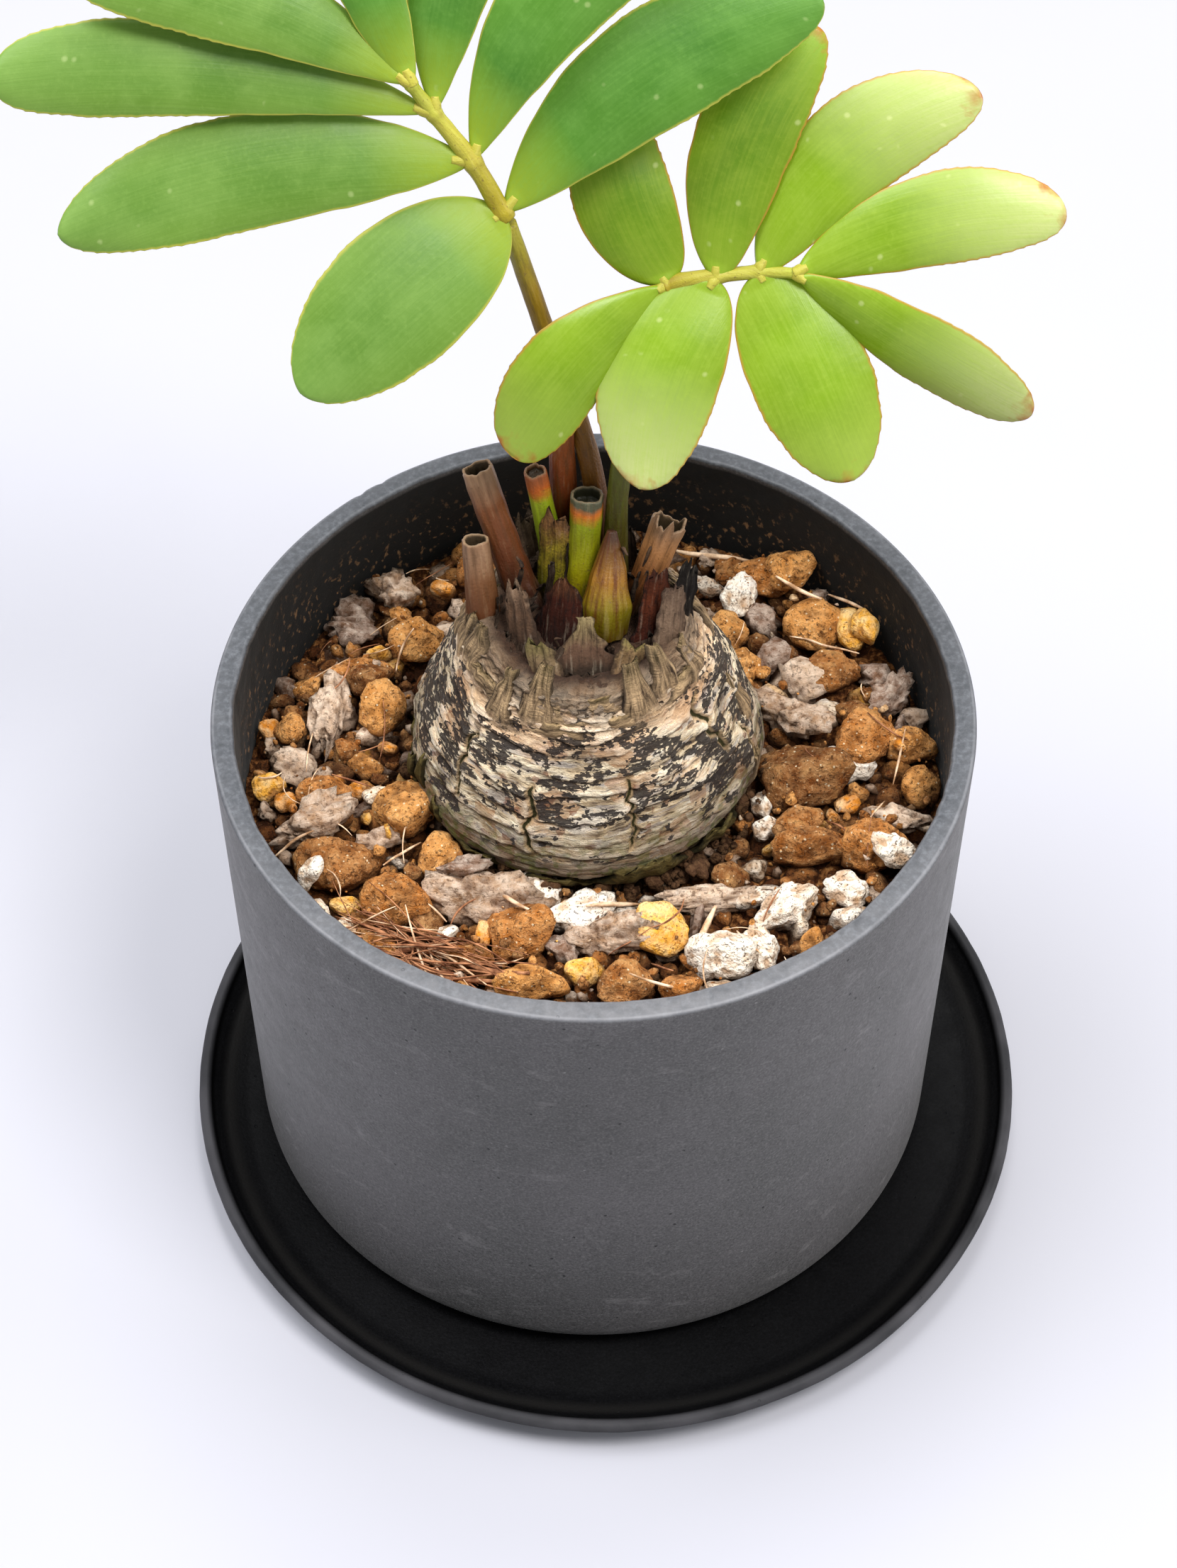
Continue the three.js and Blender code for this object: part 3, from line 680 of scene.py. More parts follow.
def lay_stones(gravel):
    random = gravel.random
    placed = []
    # A lower layer that shows between the stones on top
    for _ in range(LOWER_TRIES):
        radius = random.uniform(1.6, 3.4)
        x, y = chance_place(random, SOIL_RADIUS - radius)
        clear = all(math.hypot(x - px, y - py) > 0.8 * (radius + pr) for px, py, pr in placed)
        if from_trunk(x, y) < TRUNK_CLEAR - 0.5 + 0.6 * radius or not clear:
            continue
        placed.append((x, y, radius))
    for x, y, radius in placed:
        kind = "clay" if random.random() < 0.8 else gravel.chance_kind()
        gravel.lay(kind, x, y, radius * random.uniform(0.8, 1.2, 3) * (1.1, 0.95, 0.75),
                   random.uniform(0, 6.3), 0.1, 0.5, finest=3)
    # The stones that stand out in the photograph
    kept = []
    for kind, stones in STONES.items():
        for x, y, length, width, turn in stones:
            radii = GROWN[kind] * np.array([length / 2, width / 2, 0.45 * min(length, width) + 0.35])
            if kind == "bark":
                radii = radii * (0.88, 1, 0.85)
            away = math.hypot(x, y)
            reach = SOIL_RADIUS - min(radii[:2])
            if away > reach:
                x, y = x * reach / away, y * reach / away
            tint = 0 if kind == "pumice" else None
            gravel.lay(kind, x, y, radii, math.radians(turn), 0.5, 0.12, highest=90.5, tint=tint)
            kept.append((x, y, max(radii[:2])))
    # Smaller ones in the room that is left
    count = 0
    for tries in range(SMALL_TRIES):
        if count == SMALL_STONES:
            break
        radius = 1.0 + 2.3 * (1 - tries / SMALL_TRIES) ** 2 * random.random() + 0.4 * random.random()
        x, y = chance_place(random, SOIL_RADIUS - radius)
        clear = all(math.hypot(x - px, y - py) > 0.78 * (radius + pr) for px, py, pr in kept)
        if from_trunk(x, y) < TRUNK_CLEAR + 0.55 * radius or not clear:
            continue
        kept.append((x, y, radius))
        count += 1
        gravel.lay(gravel.chance_kind(), x, y, radius * random.uniform(0.75, 1.25, 3) * (1.15, 0.95, 0.8),
                   random.uniform(0, 6.3), 0.3, 0.4, highest=87.5)
    # Dark humus along the foot of the trunk, most of it in front
    for _ in range(HUMUS_CRUMBS):
        turn = random.normal(-1.2, 0.9)
        away = random.uniform(25.6, 30)
        x, y = TRUNK_AXIS + away * heading(turn)[:2]
        radius = 0.4 + 1.0 * random.random() ** 2
        gravel.lay("humus", x, y, radius * random.uniform(0.7, 1.3, 3), turn, 0.2, 0.6, highest=86.5)
    # Crumbs that lie in the hollows
    for _ in range(CRUMBS):
        radius = 0.25 + 0.75 * random.random() ** 2.5
        x, y = chance_place(random, SOIL_RADIUS - radius)
        floor_here = gravel.heap.level(x, y, 0.9, 0.5)
        around = gravel.heap.level(x, y, 3.4, 0.65)
        if from_trunk(x, y) < TRUNK_CLEAR or floor_here > around - 0.5:
            continue
        kind = "clay" if random.random() < 0.6 else gravel.chance_kind()
        gravel.lay(kind, x, y, radius * random.uniform(0.7, 1.4, 3), random.uniform(0, 6.3), 0.2, 0.6)


def weathered(s, hollow_shade, bump):
    """Painted shade in a stone's hollows, a painted highlight on its bumps, and painted shade a little under
    the soil's surface, where stones lie in the crevices.
    """
    relief = s.mark("relief")
    s.stain(hollow_shade, relief, 0.0, -0.6, 0.75)
    # bump is the colour of the painted highlight on a stone's bumps
    s.stain(bump, relief, 0.15, 0.7, 0.4)
    # Painted shade low down, in the crevices between stones
    shaded = s.mix(0.45, s.mix(1, s.base, "8a7668", "MULTIPLY"), "1e1208")
    s.stain(shaded, s.axis(2), 84.6, 81.8)


def humus_material(name, tint):
    s = Shade(name, 1.0, Specular_IOR_Level=0.1)
    s.base = s.mix(s.level(s.noise(0.8, 4), 0.4, 0.62), tint, s.mix(0.3, tint, "8a6848"))
    s.bump(s.noise(0.4, 4), 0.6)
    return s.done()


def clay_material(name, tint):
    s = Shade(name, 0.95, Specular_IOR_Level=0.15)
    dark, pale = s.mix(0.25, tint, "84481a"), s.mix(0.3, tint, "ffcc8c")
    s.base = s.mix(s.level(s.noise(2.4, 4), 0.36, 0.66), dark, pale)
    s.stain("f2c894", s.noise(0.5, 4), 0.56, 0.7, 0.45)
    s.stain("6e3e1a", s.noise(1.5, 4, roughness=0.65), 0.5, 0.38, 0.55)
    s.stain("3a1e0c", s.noise(0.62, 4, roughness=0.7), 0.45, 0.38, 0.85)
    s.stain("fff0cc", s.cells(1.4), 0.15, 0.1, 0.7)
    weathered(s, "4a2408", "ffc880")
    s.bump(s.sum(s.noise(0.5, 4, roughness=0.65), s.noise(1.4, 3)), 0.9)
    return s.done()


def bark_chip_material(name, tint):
    s = Shade(name, 0.98, Specular_IOR_Level=0.1)
    dark, pale = s.mix(0.25, tint, "80604a"), s.mix(0.4, tint, "fff0e0")
    s.base = s.mix(s.level(s.noise(1.8, 5), 0.35, 0.62), dark, pale)
    fibre = s.noise(0.45, 5, s.stretch((0.4, 1, 1), s.bend(s.place, 2, 1.6)), 0.7)
    tuft = s.noise(0.8, 4, roughness=0.7)
    s.stain("6a4a34", fibre, 0.42, 0.34, 0.6)
    s.stain("604430", tuft, 0.46, 0.38, 0.7)
    s.stain("fff2e2", tuft, 0.56, 0.66, 0.4)
    weathered(s, "6a4830", "ffeeda")
    s.bump(s.sum(fibre, s.noise(0.6, 5, roughness=0.7)), 0.6)
    return s.done()


def pumice_material(name, tint):
    s = Shade(name, 0.95, Specular_IOR_Level=0.15)
    s.base = s.mix(s.level(s.noise(1.9, 4), 0.54, 0.72, 0, 0.6), tint, "d09c60")
    pore = s.level(s.noise(0.5, 3, roughness=0.7), 0.4, 0.34)
    s.over(s.times(pore, 0.8), "5a3a20")
    weathered(s, "b08458", "ffffff")
    s.bump(s.sum(s.times(pore, -1), s.noise(0.7, 4)), 1)
    return s.done()


def kanuma_material(name, tint):
    s = Shade(name, 0.75, Specular_IOR_Level=0.3)
    s.base = s.mix(s.level(s.noise(1.3, 4), 0.4, 0.6), tint, s.mix(0.3, tint, "fff0c4"))
    s.stain("a06418", s.noise(0.7, 4), 0.58, 0.68, 0.7)
    s.stain("40260e", s.noise(0.5, 4), 0.4, 0.33, 0.85)
    weathered(s, "a4600e", "fff0c0")
    s.bump(s.noise(0.7, 4), 1)
    return s.done()


def soil_bed_material():
    s = Shade("soil_dust_and_shade", 1.0, Specular_IOR_Level=0.1)
    # The bed shows only in the gaps between stones: its dark tones are painted shade there, the paler ones
    # its dust
    s.base = s.ramp(s.noise(0.9, 5), [(0.3, "1c0f06"), (0.46, "4c2a14"), (0.6, "8a5a32"), (0.76, "c8965c")])
    s.bump(s.noise(0.6, 5), 1)
    return s.done()


def soil_bed():
    bottom = POT_FOOT + POT_FLOOR + 0.3
    wall = POT_FOOT_RADIUS - POT_WALL - 0.4
    profile = ([(0.4, bottom), (wall - POT_CORNER, bottom), (wall, bottom + POT_CORNER), (wall, 60)]
               + [(SOIL_RADIUS, BED_LEVEL - 1), (SOIL_RADIUS, BED_LEVEL)]
               + divide([(SOIL_RADIUS, BED_LEVEL), (23, BED_LEVEL)], 0.9)[1:] + [(0.4, BED_LEVEL)])
    rings = turned(profile, 300)
    points = rings.reshape(-1, 3)
    away = np.hypot(points[:, 0], points[:, 1])
    top = (points[:, 2] > BED_LEVEL - 0.5) & (away > 23.5)
    points[top, 2] += 0.9 * wander(points[top], 4, 71) + 0.7 * rough(points[top], 1.6, 72, 2)
    points, faces = ring_body(points.reshape(rings.shape))
    add_piece("soil_bed", points, faces, "soil", soil_bed_material(), ["soil"])


def join(lots):
    """Points and faces of many small meshes as one."""
    points, faces, start = [], [], 0
    for lot_points, lot_faces, *_ in lots:
        points.append(lot_points)
        faces += [[start + k for k in face] for face in lot_faces]
        start += len(lot_points)
    return np.concatenate(points), faces


def strand(line, radius, sides, count, taper=0.5):
    radii = [radius * taper, radius, radius, radius * taper]
    return ring_body(limb_rings(line, radii, sides, count, (0.1, 0.2, 1))[0])


def lying_line(gravel, x, y, turn, length, bend, random, knots=5):
    """A strand's points, resting on the heap."""
    share = np.linspace(-0.5, 0.5, knots)
    sideways = bend * (1 - 4 * share ** 2)
    xs = x + length * share * math.cos(turn) - sideways * math.sin(turn)
    ys = y + length * share * math.sin(turn) + sideways * math.cos(turn)
    away = np.hypot(xs, ys)
    pull = np.minimum(1, (SOIL_RADIUS - 0.8) / away)
    xs, ys = xs * pull, ys * pull
    rest = np.array([gravel.heap.level(a, b, 0.9, 0.7) for a, b in zip(xs, ys)])
    chord = np.linspace(rest[0], rest[-1], knots)
    straight = chord + 0.7 * max(0.0, float((rest - chord).max()))
    zs = 0.8 * straight + 0.2 * np.maximum(rest, chord) + random.uniform(0.1, 0.3, knots)
    return places(xs, ys, np.minimum(zs, 91))


def fibre_material(name, dark, pale):
    s = Shade(name, 0.85, Specular_IOR_Level=0.25)
    s.base = s.mix(s.level(s.noise(2.2, 4), 0.38, 0.62), dark, pale)
    s.bump(s.noise(0.25, 3), 0.15, 0.6)
    return s.done()


# Straws that stand out: x, y, turn, length and radius
STRAWS = [(20, 47, -2, 14, 0.45), (43, 36, -40, 9, 0.3), (34, 36, -35, 9, 0.35), (-30, -17, 45, 8, 0.22),
          (-13, -27, -42, 10, 0.35), (3, -27, 25, 9, 0.4), (17, -31, 66, 10, 0.55), (-45, 6, 80, 12, 0.14),
          (49, 2, 75, 8, 0.2), (24, -34, -60, 7, 0.25), (11, -43, -4, 11, 0.25), (-47, -15, 20, 7, 0.25),
          (45, -9, 70, 9, 0.16), (38, 26, -20, 12, 0.2), (-31, 24, 60, 6, 0.2), (15, 38, -75, 8, 0.2)]
LOOSE_FIBRES = 70
TUFT_FIBRES = 96


def soil_fibres(gravel):
    random = np.random.default_rng(8)
    pale, brown = [], []
    for x, y, turn, length, radius in STRAWS:
        line = lying_line(gravel, x, y, math.radians(turn), length, random.uniform(-0.6, 0.6), random)
        pale.append(strand(line, radius, 7, 14))
    for _ in range(LOOSE_FIBRES):
        x, y = chance_place(random, SOIL_RADIUS - 3)
        if from_trunk(x, y) < TRUNK_CLEAR + 5:
            continue
        length = random.uniform(3, 9)
        line = lying_line(gravel, x, y, random.uniform(0, 6.3), length, random.normal(0, 0.8), random)
        (pale if random.random() < 0.6 else brown).append(strand(line, random.uniform(0.07, 0.2), 5, 10))
    # A tuft of brown root fibres lies along the front left of the lip
    for k in range(TUFT_FIBRES):
        share = random.random()
        x = -36 + 20 * share + random.normal(0, 1.4)
        y = -31.5 - 8 * share + random.normal(0, 1.5)
        turn = math.radians(-24) + random.normal(0, 0.3)
        line = lying_line(gravel, x, y, turn, random.uniform(6, 18), random.normal(0, 1.0), random)
        line[:, 2] += random.uniform(-1.0, 0.8)
        thick = 0.5 if k % 24 == 0 else random.uniform(0.06, 0.22)
        (pale if k % 7 == 0 else brown).append(strand(line, thick, 5, 12))
    add_piece("soil_straws", *join(pale), "soil", fibre_material("straw", "a8805c", "f4d4b2"))
    add_piece("soil_fibres", *join(brown), "soil", fibre_material("root_fibre", "6a3e26", "b8805a"))


def soil():
    soil_bed()
    gravel = Gravel(6)
    lay_stones(gravel)
    makers = {"clay": clay_material, "humus": humus_material, "bark": bark_chip_material,
              "pumice": pumice_material, "kanuma": kanuma_material}
    for (kind, tint), lots in gravel.lots.items():
        name = f"soil_{kind}_{tint + 1}"
        # relief carries each stone's swell, which its skin turns into painted shade and highlight
        marks = {"relief": np.concatenate([relief for _, _, relief in lots])}
        add_piece(name, *join(lots), "soil", makers[kind](name, rgb(TINTS[kind][tint])), marks=marks)
    soil_fibres(gravel)


# Trunk

# Heights of the rings left by old leaf bases, above the ground
TRUNK_RINGS = (86.7, 89.4, 92, 95.2, 98.8, 102.5, 105.9, 108.8, 111, 112.9, 114.6, 116.2)
# Cracks: azimuth in degrees, lowest and highest point, width, depth
TRUNK_CRACKS = [(-108, 92, 103.5, 0.5, 0.6), (-73, 93, 104.5, 0.4, 0.5), (-29, 99, 112, 0.6, 0.8),
                (-142, 95, 107, 0.4, 0.5), (-12, 90, 99, 0.4, 0.5), (35, 92, 106, 0.5, 0.7),
                (80, 89, 101, 0.4, 0.6), (120, 96, 110, 0.5, 0.7), (170, 88, 100, 0.4, 0.6)]


def trunk_centre(rise):
    share = (np.asarray(rise) / TRUNK_HEIGHT) ** 2
    x = TRUNK_AXIS[0] + (CROWN_AXIS[0] - TRUNK_AXIS[0]) * share
    y = TRUNK_AXIS[1] + (CROWN_AXIS[1] - TRUNK_AXIS[1]) * share
    return x, y


def trunk_material():
    s = Shade("bark_skin", 0.85, Specular_IOR_Level=0.25)
    height = s.axis(2)
    beside = s.sum(s.axis(0), TRUNK_AXIS[0], "SUBTRACT")
    place = s.bend(s.place, 9, 3.2)
    stops = [(0.32, "8a7660"), (0.42, "d2b892"), (0.52, "f6e4c4"), (0.62, "eac49a"), (0.74, "d8ccbe")]
    s.base = s.ramp(s.noise(6, 4, s.stretch((0.7, 0.7, 2.4), place), 0.6), stops)
    # Fine lines that run round it
    thread = s.noise(0.55, 5, s.stretch((0.12, 0.12, 1.2), place), 0.72)
    s.stain("503c2a", thread, 0.48, 0.38, 0.9)
    s.stain("fff6e6", thread, 0.55, 0.66, 0.65)
    s.stain("b4aca8", s.noise(1.2, 3, s.stretch((0.2, 0.2, 1.2), place)), 0.54, 0.62, 0.6)
    crumb, blush = s.cell_tones(0.95, s.bend(s.stretch((0.75, 0.75, 1)), 0.7, 0.7))
    tan = s.cell_tones(4.6, s.bend(s.place, 2, 2))[0]
    s.stain("b0825a", tan, 0.86, 0.88, 0.6)
    s.stain("7a3e28", blush, 0.95, 0.96, 0.6)
    # Peach-coloured shoulder under the crown, painted shade in the hollows and a painted highlight on the
    # ridges, and a foot painted darker as painted shade, with moss
    s.stain("f0c094", s.jitter(height, 8, 3, 8), 111.5, 114, 0.5)
    s.stain("4a3422", s.mark("relief"), -0.1, -0.8, 0.85)
    s.stain("fff0d8", s.mark("relief"), 0.25, 0.9, 0.5)
    # Painted shade: darker towards the foot
    s.stain("462e16", s.jitter(height, 5, 4, 8), 103, 91, 0.9)
    moss = s.times(s.level(s.noise(1.8, 5), 0.49, 0.58), s.level(height, 98, 89))
    s.over(s.times(moss, 0.65), "56601c")
    # The blackish outer skin is left in patches that crumble at their edges
    flank = s.sum(s.level(beside, -14, -22), s.level(beside, 14, 22))
    belt = s.times(s.level(height, 93, 98), s.level(height, 112.5, 109))
    belt = s.sum(belt, s.times(flank, s.times(s.level(height, 90, 96), s.level(height, 117, 113))))
    patch = s.sum(s.noise(4.4, 4, s.stretch((0.8, 0.8, 1.8)), 0.6), s.times(belt, 0.07))
    patch = s.level(patch, 0.545, 0.66, 0.02, 1.08)
    black = s.times(s.level(s.sum(patch, crumb, "SUBTRACT"), 0, 0.03), s.level(height, 89, 92))
    black = s.times(black, s.level(s.noise(0.6, 4, s.stretch((0.5, 0.5, 1.4))), 0.57, 0.61, 1, 0.15))
    s.over(s.times(black, 0.95), s.mix(s.noise(0.8, 3), "0c0c10", "3c322e"))
    # Painted shade under the rings, then cracks, and painted shade on the collar and on the crown inside it
    # Painted shade in the undercuts under the rings and in the creases
    s.over(s.times(s.mark("ring"), s.level(height, 109, 113, 0.85, 0.5)), "3c2a1a")
    s.stain("c0a074", s.mark("crack"), 0.1, 0.35, 0.5)
    s.stain("34300f", s.mark("crack"), 0.55, 0.78)
    # Painted shade: the collar under the crown, dark behind the scales
    collar_shade = s.mix(s.level(thread, 0.42, 0.58), "1e140c", "705a44")
    s.stain(collar_shade, s.jitter(height, 2, 4, 4), 115.6, 118, 0.8)
    # Painted shade: the crown inside the collar, under the scales, is painted near-black
    s.over(s.times(s.mark("crown"), 0.95), s.mix(s.noise(1.5, 4), "140a06", "4a3020"))
    # Bark that stands off the trunk turns fibrous and olive grey towards its torn edge
    along = s.sway(s.mark("along"), 1.6, 4, 0.35)
    fibre = s.noise(0.7, 5, s.stretch((1, 1, 0.14), s.mark("grain", "Vector")), 0.65)
    torn = s.mix(s.level(fibre, 0.38, 0.6), "3a2818", "c4a47c")
    torn = s.mix(s.level(along, 0.6, 1.0, 0, 0.4), torn, "665a2c")
    torn = s.mix(s.level(s.mark("rim"), 0.78, 0.97, 0, 0.7), torn, "30241a")
    stands = s.level(along, 0.12, 0.34)
    s.over(stands, torn)
    s.gloss(s.level(black, 0, 1, 0.85, 0.5))
    relief = s.sum(s.times(thread, 1.4), s.times(black, -0.35))
    relief = s.sum(relief, s.times(s.times(fibre, stands), 1.2))
    s.bump(s.jitter(relief, 0.4, 3, 0.6), 0.8)
    return s.done()


def trunk(skin):
    sides, rows = 420, 176
    rises = np.concatenate([np.linspace(-3.5, 34, rows), [34.5, 34.7, 34.3, 33.4, 32.5, 31.8, 31.4]])
    turn = np.arange(sides) * 2 * math.pi / sides
    radii = np.interp(rises, TRUNK_RISES, TRUNK_RADII)
    radii[rows:] = [15.4, 14.2, 13, 11, 8, 4, 0.6]
    radii[rises < 0] = np.interp(rises[rises < 0], [-3.5, 0], [22.5, 25.4])
    lumps = 0.25 * np.sin(3 * turn + 1) + 0.2 * np.sin(5 * turn + 0.3 * rises[:, None])
    height = TRUNK_FOOT + rises[:, None] + 0 * turn
    x, y = trunk_centre(np.maximum(rises, 0)[:, None])
    mean_radius = 26
    girth = round_line(mean_radius, turn, height)
    level_girth = girth * (1, 1, 0)
    upright = girth * (0, 0, 1)
    body = np.ones(len(rises))
    body[rows:] = [1, 0.6, 0.3, 0, 0, 0, 0]
    push = np.zeros_like(height)
    # ring marks the undercuts and creases, which the skin paints dark as painted shade
    ring = np.zeros_like(height)
    # Rings: each stands out above and is undercut below
    for k, level in enumerate(TRUNK_RINGS):
        own = level + 1.1 * wander(level_girth, 11, 90 + k) + 0.35 * wander(level_girth, 2.6, 110 + k)
        above = height - own
        strength = 0.5 + 0.5 * smooth_step(wander(level_girth, 8, 130 + k), -0.4, 0.3)
        push += strength * (0.34 * np.exp(-np.maximum(above, 0) / 1.1) * smooth_step(above, -0.35, 0.05)
                            - 0.3 * np.exp(-(above + 0.45) ** 2 / 0.12))
        ring = np.maximum(ring, strength * np.exp(-(above + 0.35) ** 2 / 0.03))
    push += 0.34 * wander(girth * (1, 1, 1.6), 7, 60)
    push += 0.11 * rough(girth * (0.25, 0.25, 1.6), 1.2, 61, 3)
    push += 0.07 * rough(girth, 1.1, 62, 2)
    plates = wander(girth * (0.6, 0.6, 2), 2.6, 64)
    push += 0.16 * smooth_step(plates, 0.12, 0.2) - 0.1 * smooth_step(plates, -0.3, -0.4)
    layers = np.abs(rough(girth * (0.3, 0.3, 1.6), 1.3, 68, 3))
    creased = smooth_step(height + 2 * wander(girth, 6, 69), 109, 113)
    push += creased * (0.8 * np.minimum(layers, 0.4) - 0.16)
    ring = np.maximum(ring, creased * np.exp(-(layers / 0.07) ** 2))
    # Under a ragged lip at its foot the trunk draws in
    lip = 87.2 + 1.3 * wander(level_girth, 7, 95) + 0.6 * wander(level_girth, 1.6, 96)
    front = 0.5 + 0.5 * np.exp(-((turn - math.radians(290)) / 0.6) ** 2)
    drawn_in = front * smooth_step(lip - height, 0, 0.4)
    push -= 1.1 * drawn_in
    # The drawn-in band under the lip gets painted shade too
    ring = np.maximum(ring, drawn_in)
    crack = np.zeros_like(height)
    for k, (azimuth, low, high, width, depth) in enumerate(TRUNK_CRACKS):
        sway = 1.6 * wander(upright, 4, 150 + k) + 0.7 * wander(upright, 1.1, 170 + k)
        gap = (turn - math.radians(azimuth) + math.pi) % (2 * math.pi) - math.pi
        gap = np.abs(gap * radii[:, None] + sway)
        reach = smooth_step(height, low - 1, low + 1) * smooth_step(height, high + 1, high - 1)
        groove = np.exp(-(gap / width) ** 2) * reach
        push += 0.25 * np.exp(-((gap - 1.2) / 0.8) ** 2) * reach - depth * groove
        crack = np.maximum(crack, groove)
    # relief drives the painted shade in the bark's hollows and the painted highlight on its ridges
    relief = push / 0.6
    push *= body[:, None]
    radius = radii[:, None] + lumps * body[:, None] + push
    inner = (body < 0.5)[:, None]
    drop = inner * (0.7 * rough(level_girth * radius[..., None] / mean_radius, 2.2, 66, 3))
    rings = round_line(radius, turn, height + drop, x, y)
    # crown marks the cap inside the collar, which the skin paints near-black as painted shade
    crown = smooth_step(np.arange(len(rises))[:, None] + 0 * turn, rows - 1, rows + 2)
    points, faces = ring_body(rings)
    marks = {"crack": closed(crack, 0, 0), "ring": closed(ring, 0, 0), "crown": closed(crown, 0, 1),
             "relief": closed(relief, 0, 0)}
    add_piece("trunk_bark", points, faces, "bark", skin, ["trunk"], marks)


# Sheets of old bark that cling to the trunk: azimuth, lowest and highest point, width, how far they stand
# off, how ragged, and how far they lean in above the trunk
TONGUES = [(-113, 109.6, 122, 5.2, 1.0, 0.12, 0.15), (-99, 112.6, 116.6, 11, 0.6, 0.25, 0.6),
           (-60, 109.8, 122, 5, 1.0, 0.12, 0.1), (-42, 111.5, 122.6, 4.4, 1.0, 0.12, 0.1),
           (-132, 107.5, 119.5, 4, 1.0, 0.15, 0.1), (-88, 114, 117.8, 10, 0.7, 0.25, 0.5),
           (-103, 110.5, 114, 9, 0.5, 0.3, 0.6), (-76, 111.5, 115, 10, 0.5, 0.3, 0.7),
           (-150, 112, 115.6, 10, 0.6, 0.3, 0.5), (-30, 111.8, 115.4, 9, 0.6, 0.3, 0.5),
           (-164, 110.5, 121, 5.4, 1.0, 0.25, 0), (-181, 109, 120, 5, 1.1, 0.3, 0),
           (-3, 92.5, 106.5, 5, 0.6, 0.4, 0), (-14, 85, 95, 3.6, 0.9, 0.4, 0),
           (-20, 110, 119.5, 4, 1.0, 0.2, 0.1)]
SKIRTS = [(-70, 83.2, 90.3, 13, 1.2, 0.3), (-99, 83.2, 87.6, 10, 0.9, 0.5), (-40, 83.4, 90, 8, 1.0, 0.5),
          (-158, 87, 97.5, 2.4, 1.1, 0.4), (-166, 85, 94, 2.6, 1.1, 0.4), (-147, 84, 92, 3, 1.0, 0.4),
          (-128, 83.2, 88, 8, 0.9, 0.5)]
# The far side of the trunk has this many more of each, placed by chance
FAR_TONGUES = 15
FAR_SKIRTS = 11


def sheet_marks(t, v, across, length, seed=0):
    """Marks of a sheet: place along it, its grain in millimetres, and how near its long edges are."""
    share, across = both_sides(t + 0 * v), both_sides(across)
    grain = places(across, seed, share * length)
    return {"along": closed(share, 0, 1), "grain": closed(grain, (0, seed, 0), (0, seed, length)),
            "rim": closed(both_sides(np.abs(v) + 0 * t), 0, 0)}


def skin_sheet(azimuth, low, high, width, lift, ragged, seed, lean=0.0, rows=30, columns=18):
    """A sheet that lies on the trunk's skin, with its foot sunk in it and its top torn."""
    v = np.linspace(-1, 1, columns)[None, :]
    row = np.linspace(0, 1, rows)[:, None]
    spot = places(v * width / 2, 0, seed)
    tear = ragged * (0.4 + 0.4 * wander(spot, 1.6, seed) + 0.25 * wander(spot, 0.5, seed + 1))
    t = row * (1 - np.clip(tear, 0, 0.9))
    height = low + (high - low) * t
    edges = places(3 * np.sign(v), 0, height)
    narrow = 0.3 if width > high - low else 0.55
    half = width / 2 * (1 + 1.2 * (1 - t) ** 3 - narrow * t ** 2 + 0.2 * wander(edges, 1.8, seed + 2))
    rises = np.append(TRUNK_RISES[:-1], TRUNK_HEIGHT + 8)
    radius = np.interp(height - TRUNK_FOOT, rises, np.append(TRUNK_RADII[:-1], 13))
    over = np.maximum(height - TRUNK_FOOT - TRUNK_HEIGHT, 0)
    away = lift * smooth_step(t, 0.05, 0.5) - 0.45 * (1 - smooth_step(t, 0, 0.2)) - lean * over
    place = places(half * v, 0, height * 0.25 + seed)
    fold = 0.14 * np.sin(v * width * 1.3 + seed) + 0.3 * wander(place, 1.1, seed + 3)
    fold = fold + 0.35 * wander(place * (1, 1, 3), 2.4, seed + 4)
    away = away - 0.5 * np.abs(v) ** 4 + fold * smooth_step(t, 0.05, 0.5)
    radius = radius + away
    turn = math.radians(azimuth) + half * v / radius
    x, y = trunk_centre(np.minimum(height - TRUNK_FOOT, TRUNK_HEIGHT))
    outside, inside = (round_line(radius - inset, turn, height, x, y) for inset in (0, 0.4 + 0.5 * (1 - t)))
    points, faces = blade_body(outside, inside)
    marks = sheet_marks(t, v, width / 2 * v + 0 * t, high - low, seed)
    # The grain of a wide, low lip runs round the trunk, that of a tongue runs up it
    if width > high - low:
        marks["grain"] = marks["grain"][:, ::-1]
    return points, faces, marks


def join_sheets(name, sheets, material):
    """One piece from many sheets, with their marks."""
    marks = {label: np.concatenate([sheet[2][label] for sheet in sheets]) for label in sheets[0][2]}
    add_piece(name, *join(sheets), "scale", material, marks=marks)


def old_bark(skin):
    """Tongues of bark round the shoulder, and a ragged, mossy skirt at the foot."""
    random = np.random.default_rng(31)
    tongues = [skin_sheet(*spec[:6], 700 + 7 * k, spec[6]) for k, spec in enumerate(TONGUES)]
    for k in range(FAR_TONGUES):
        azimuth = 14 + 158 * k / (FAR_TONGUES - 1) + random.uniform(-4, 4)
        tongues.append(skin_sheet(azimuth, random.uniform(104, 111), random.uniform(114.5, 121.5),
                                  random.uniform(3.5, 9), 0.9, random.uniform(0.2, 0.55), 800 + 7 * k,
                                  random.uniform(0.1, 0.5)))
    skirts = [skin_sheet(*spec, 900 + 7 * k) for k, spec in enumerate(SKIRTS)]
    for k in range(FAR_SKIRTS):
        azimuth = 20 + 165 * k / (FAR_SKIRTS - 1) + random.uniform(-5, 5)
        skirts.append(skin_sheet(azimuth, 83.2, random.uniform(86.5, 90), random.uniform(7, 12), 0.8,
                                 random.uniform(0.4, 0.6), 1000 + 7 * k))
    join_sheets("trunk_bark_tongues", tongues, skin)
    stops = [(0.1, "30230f"), (0.5, "463a1a"), (0.9, "5a4e2a")]
    join_sheets("trunk_bark_skirts", skirts, scale_material("bark_skirt_skin", stops, "1c1a0c"))


# Stalks and cut stubs

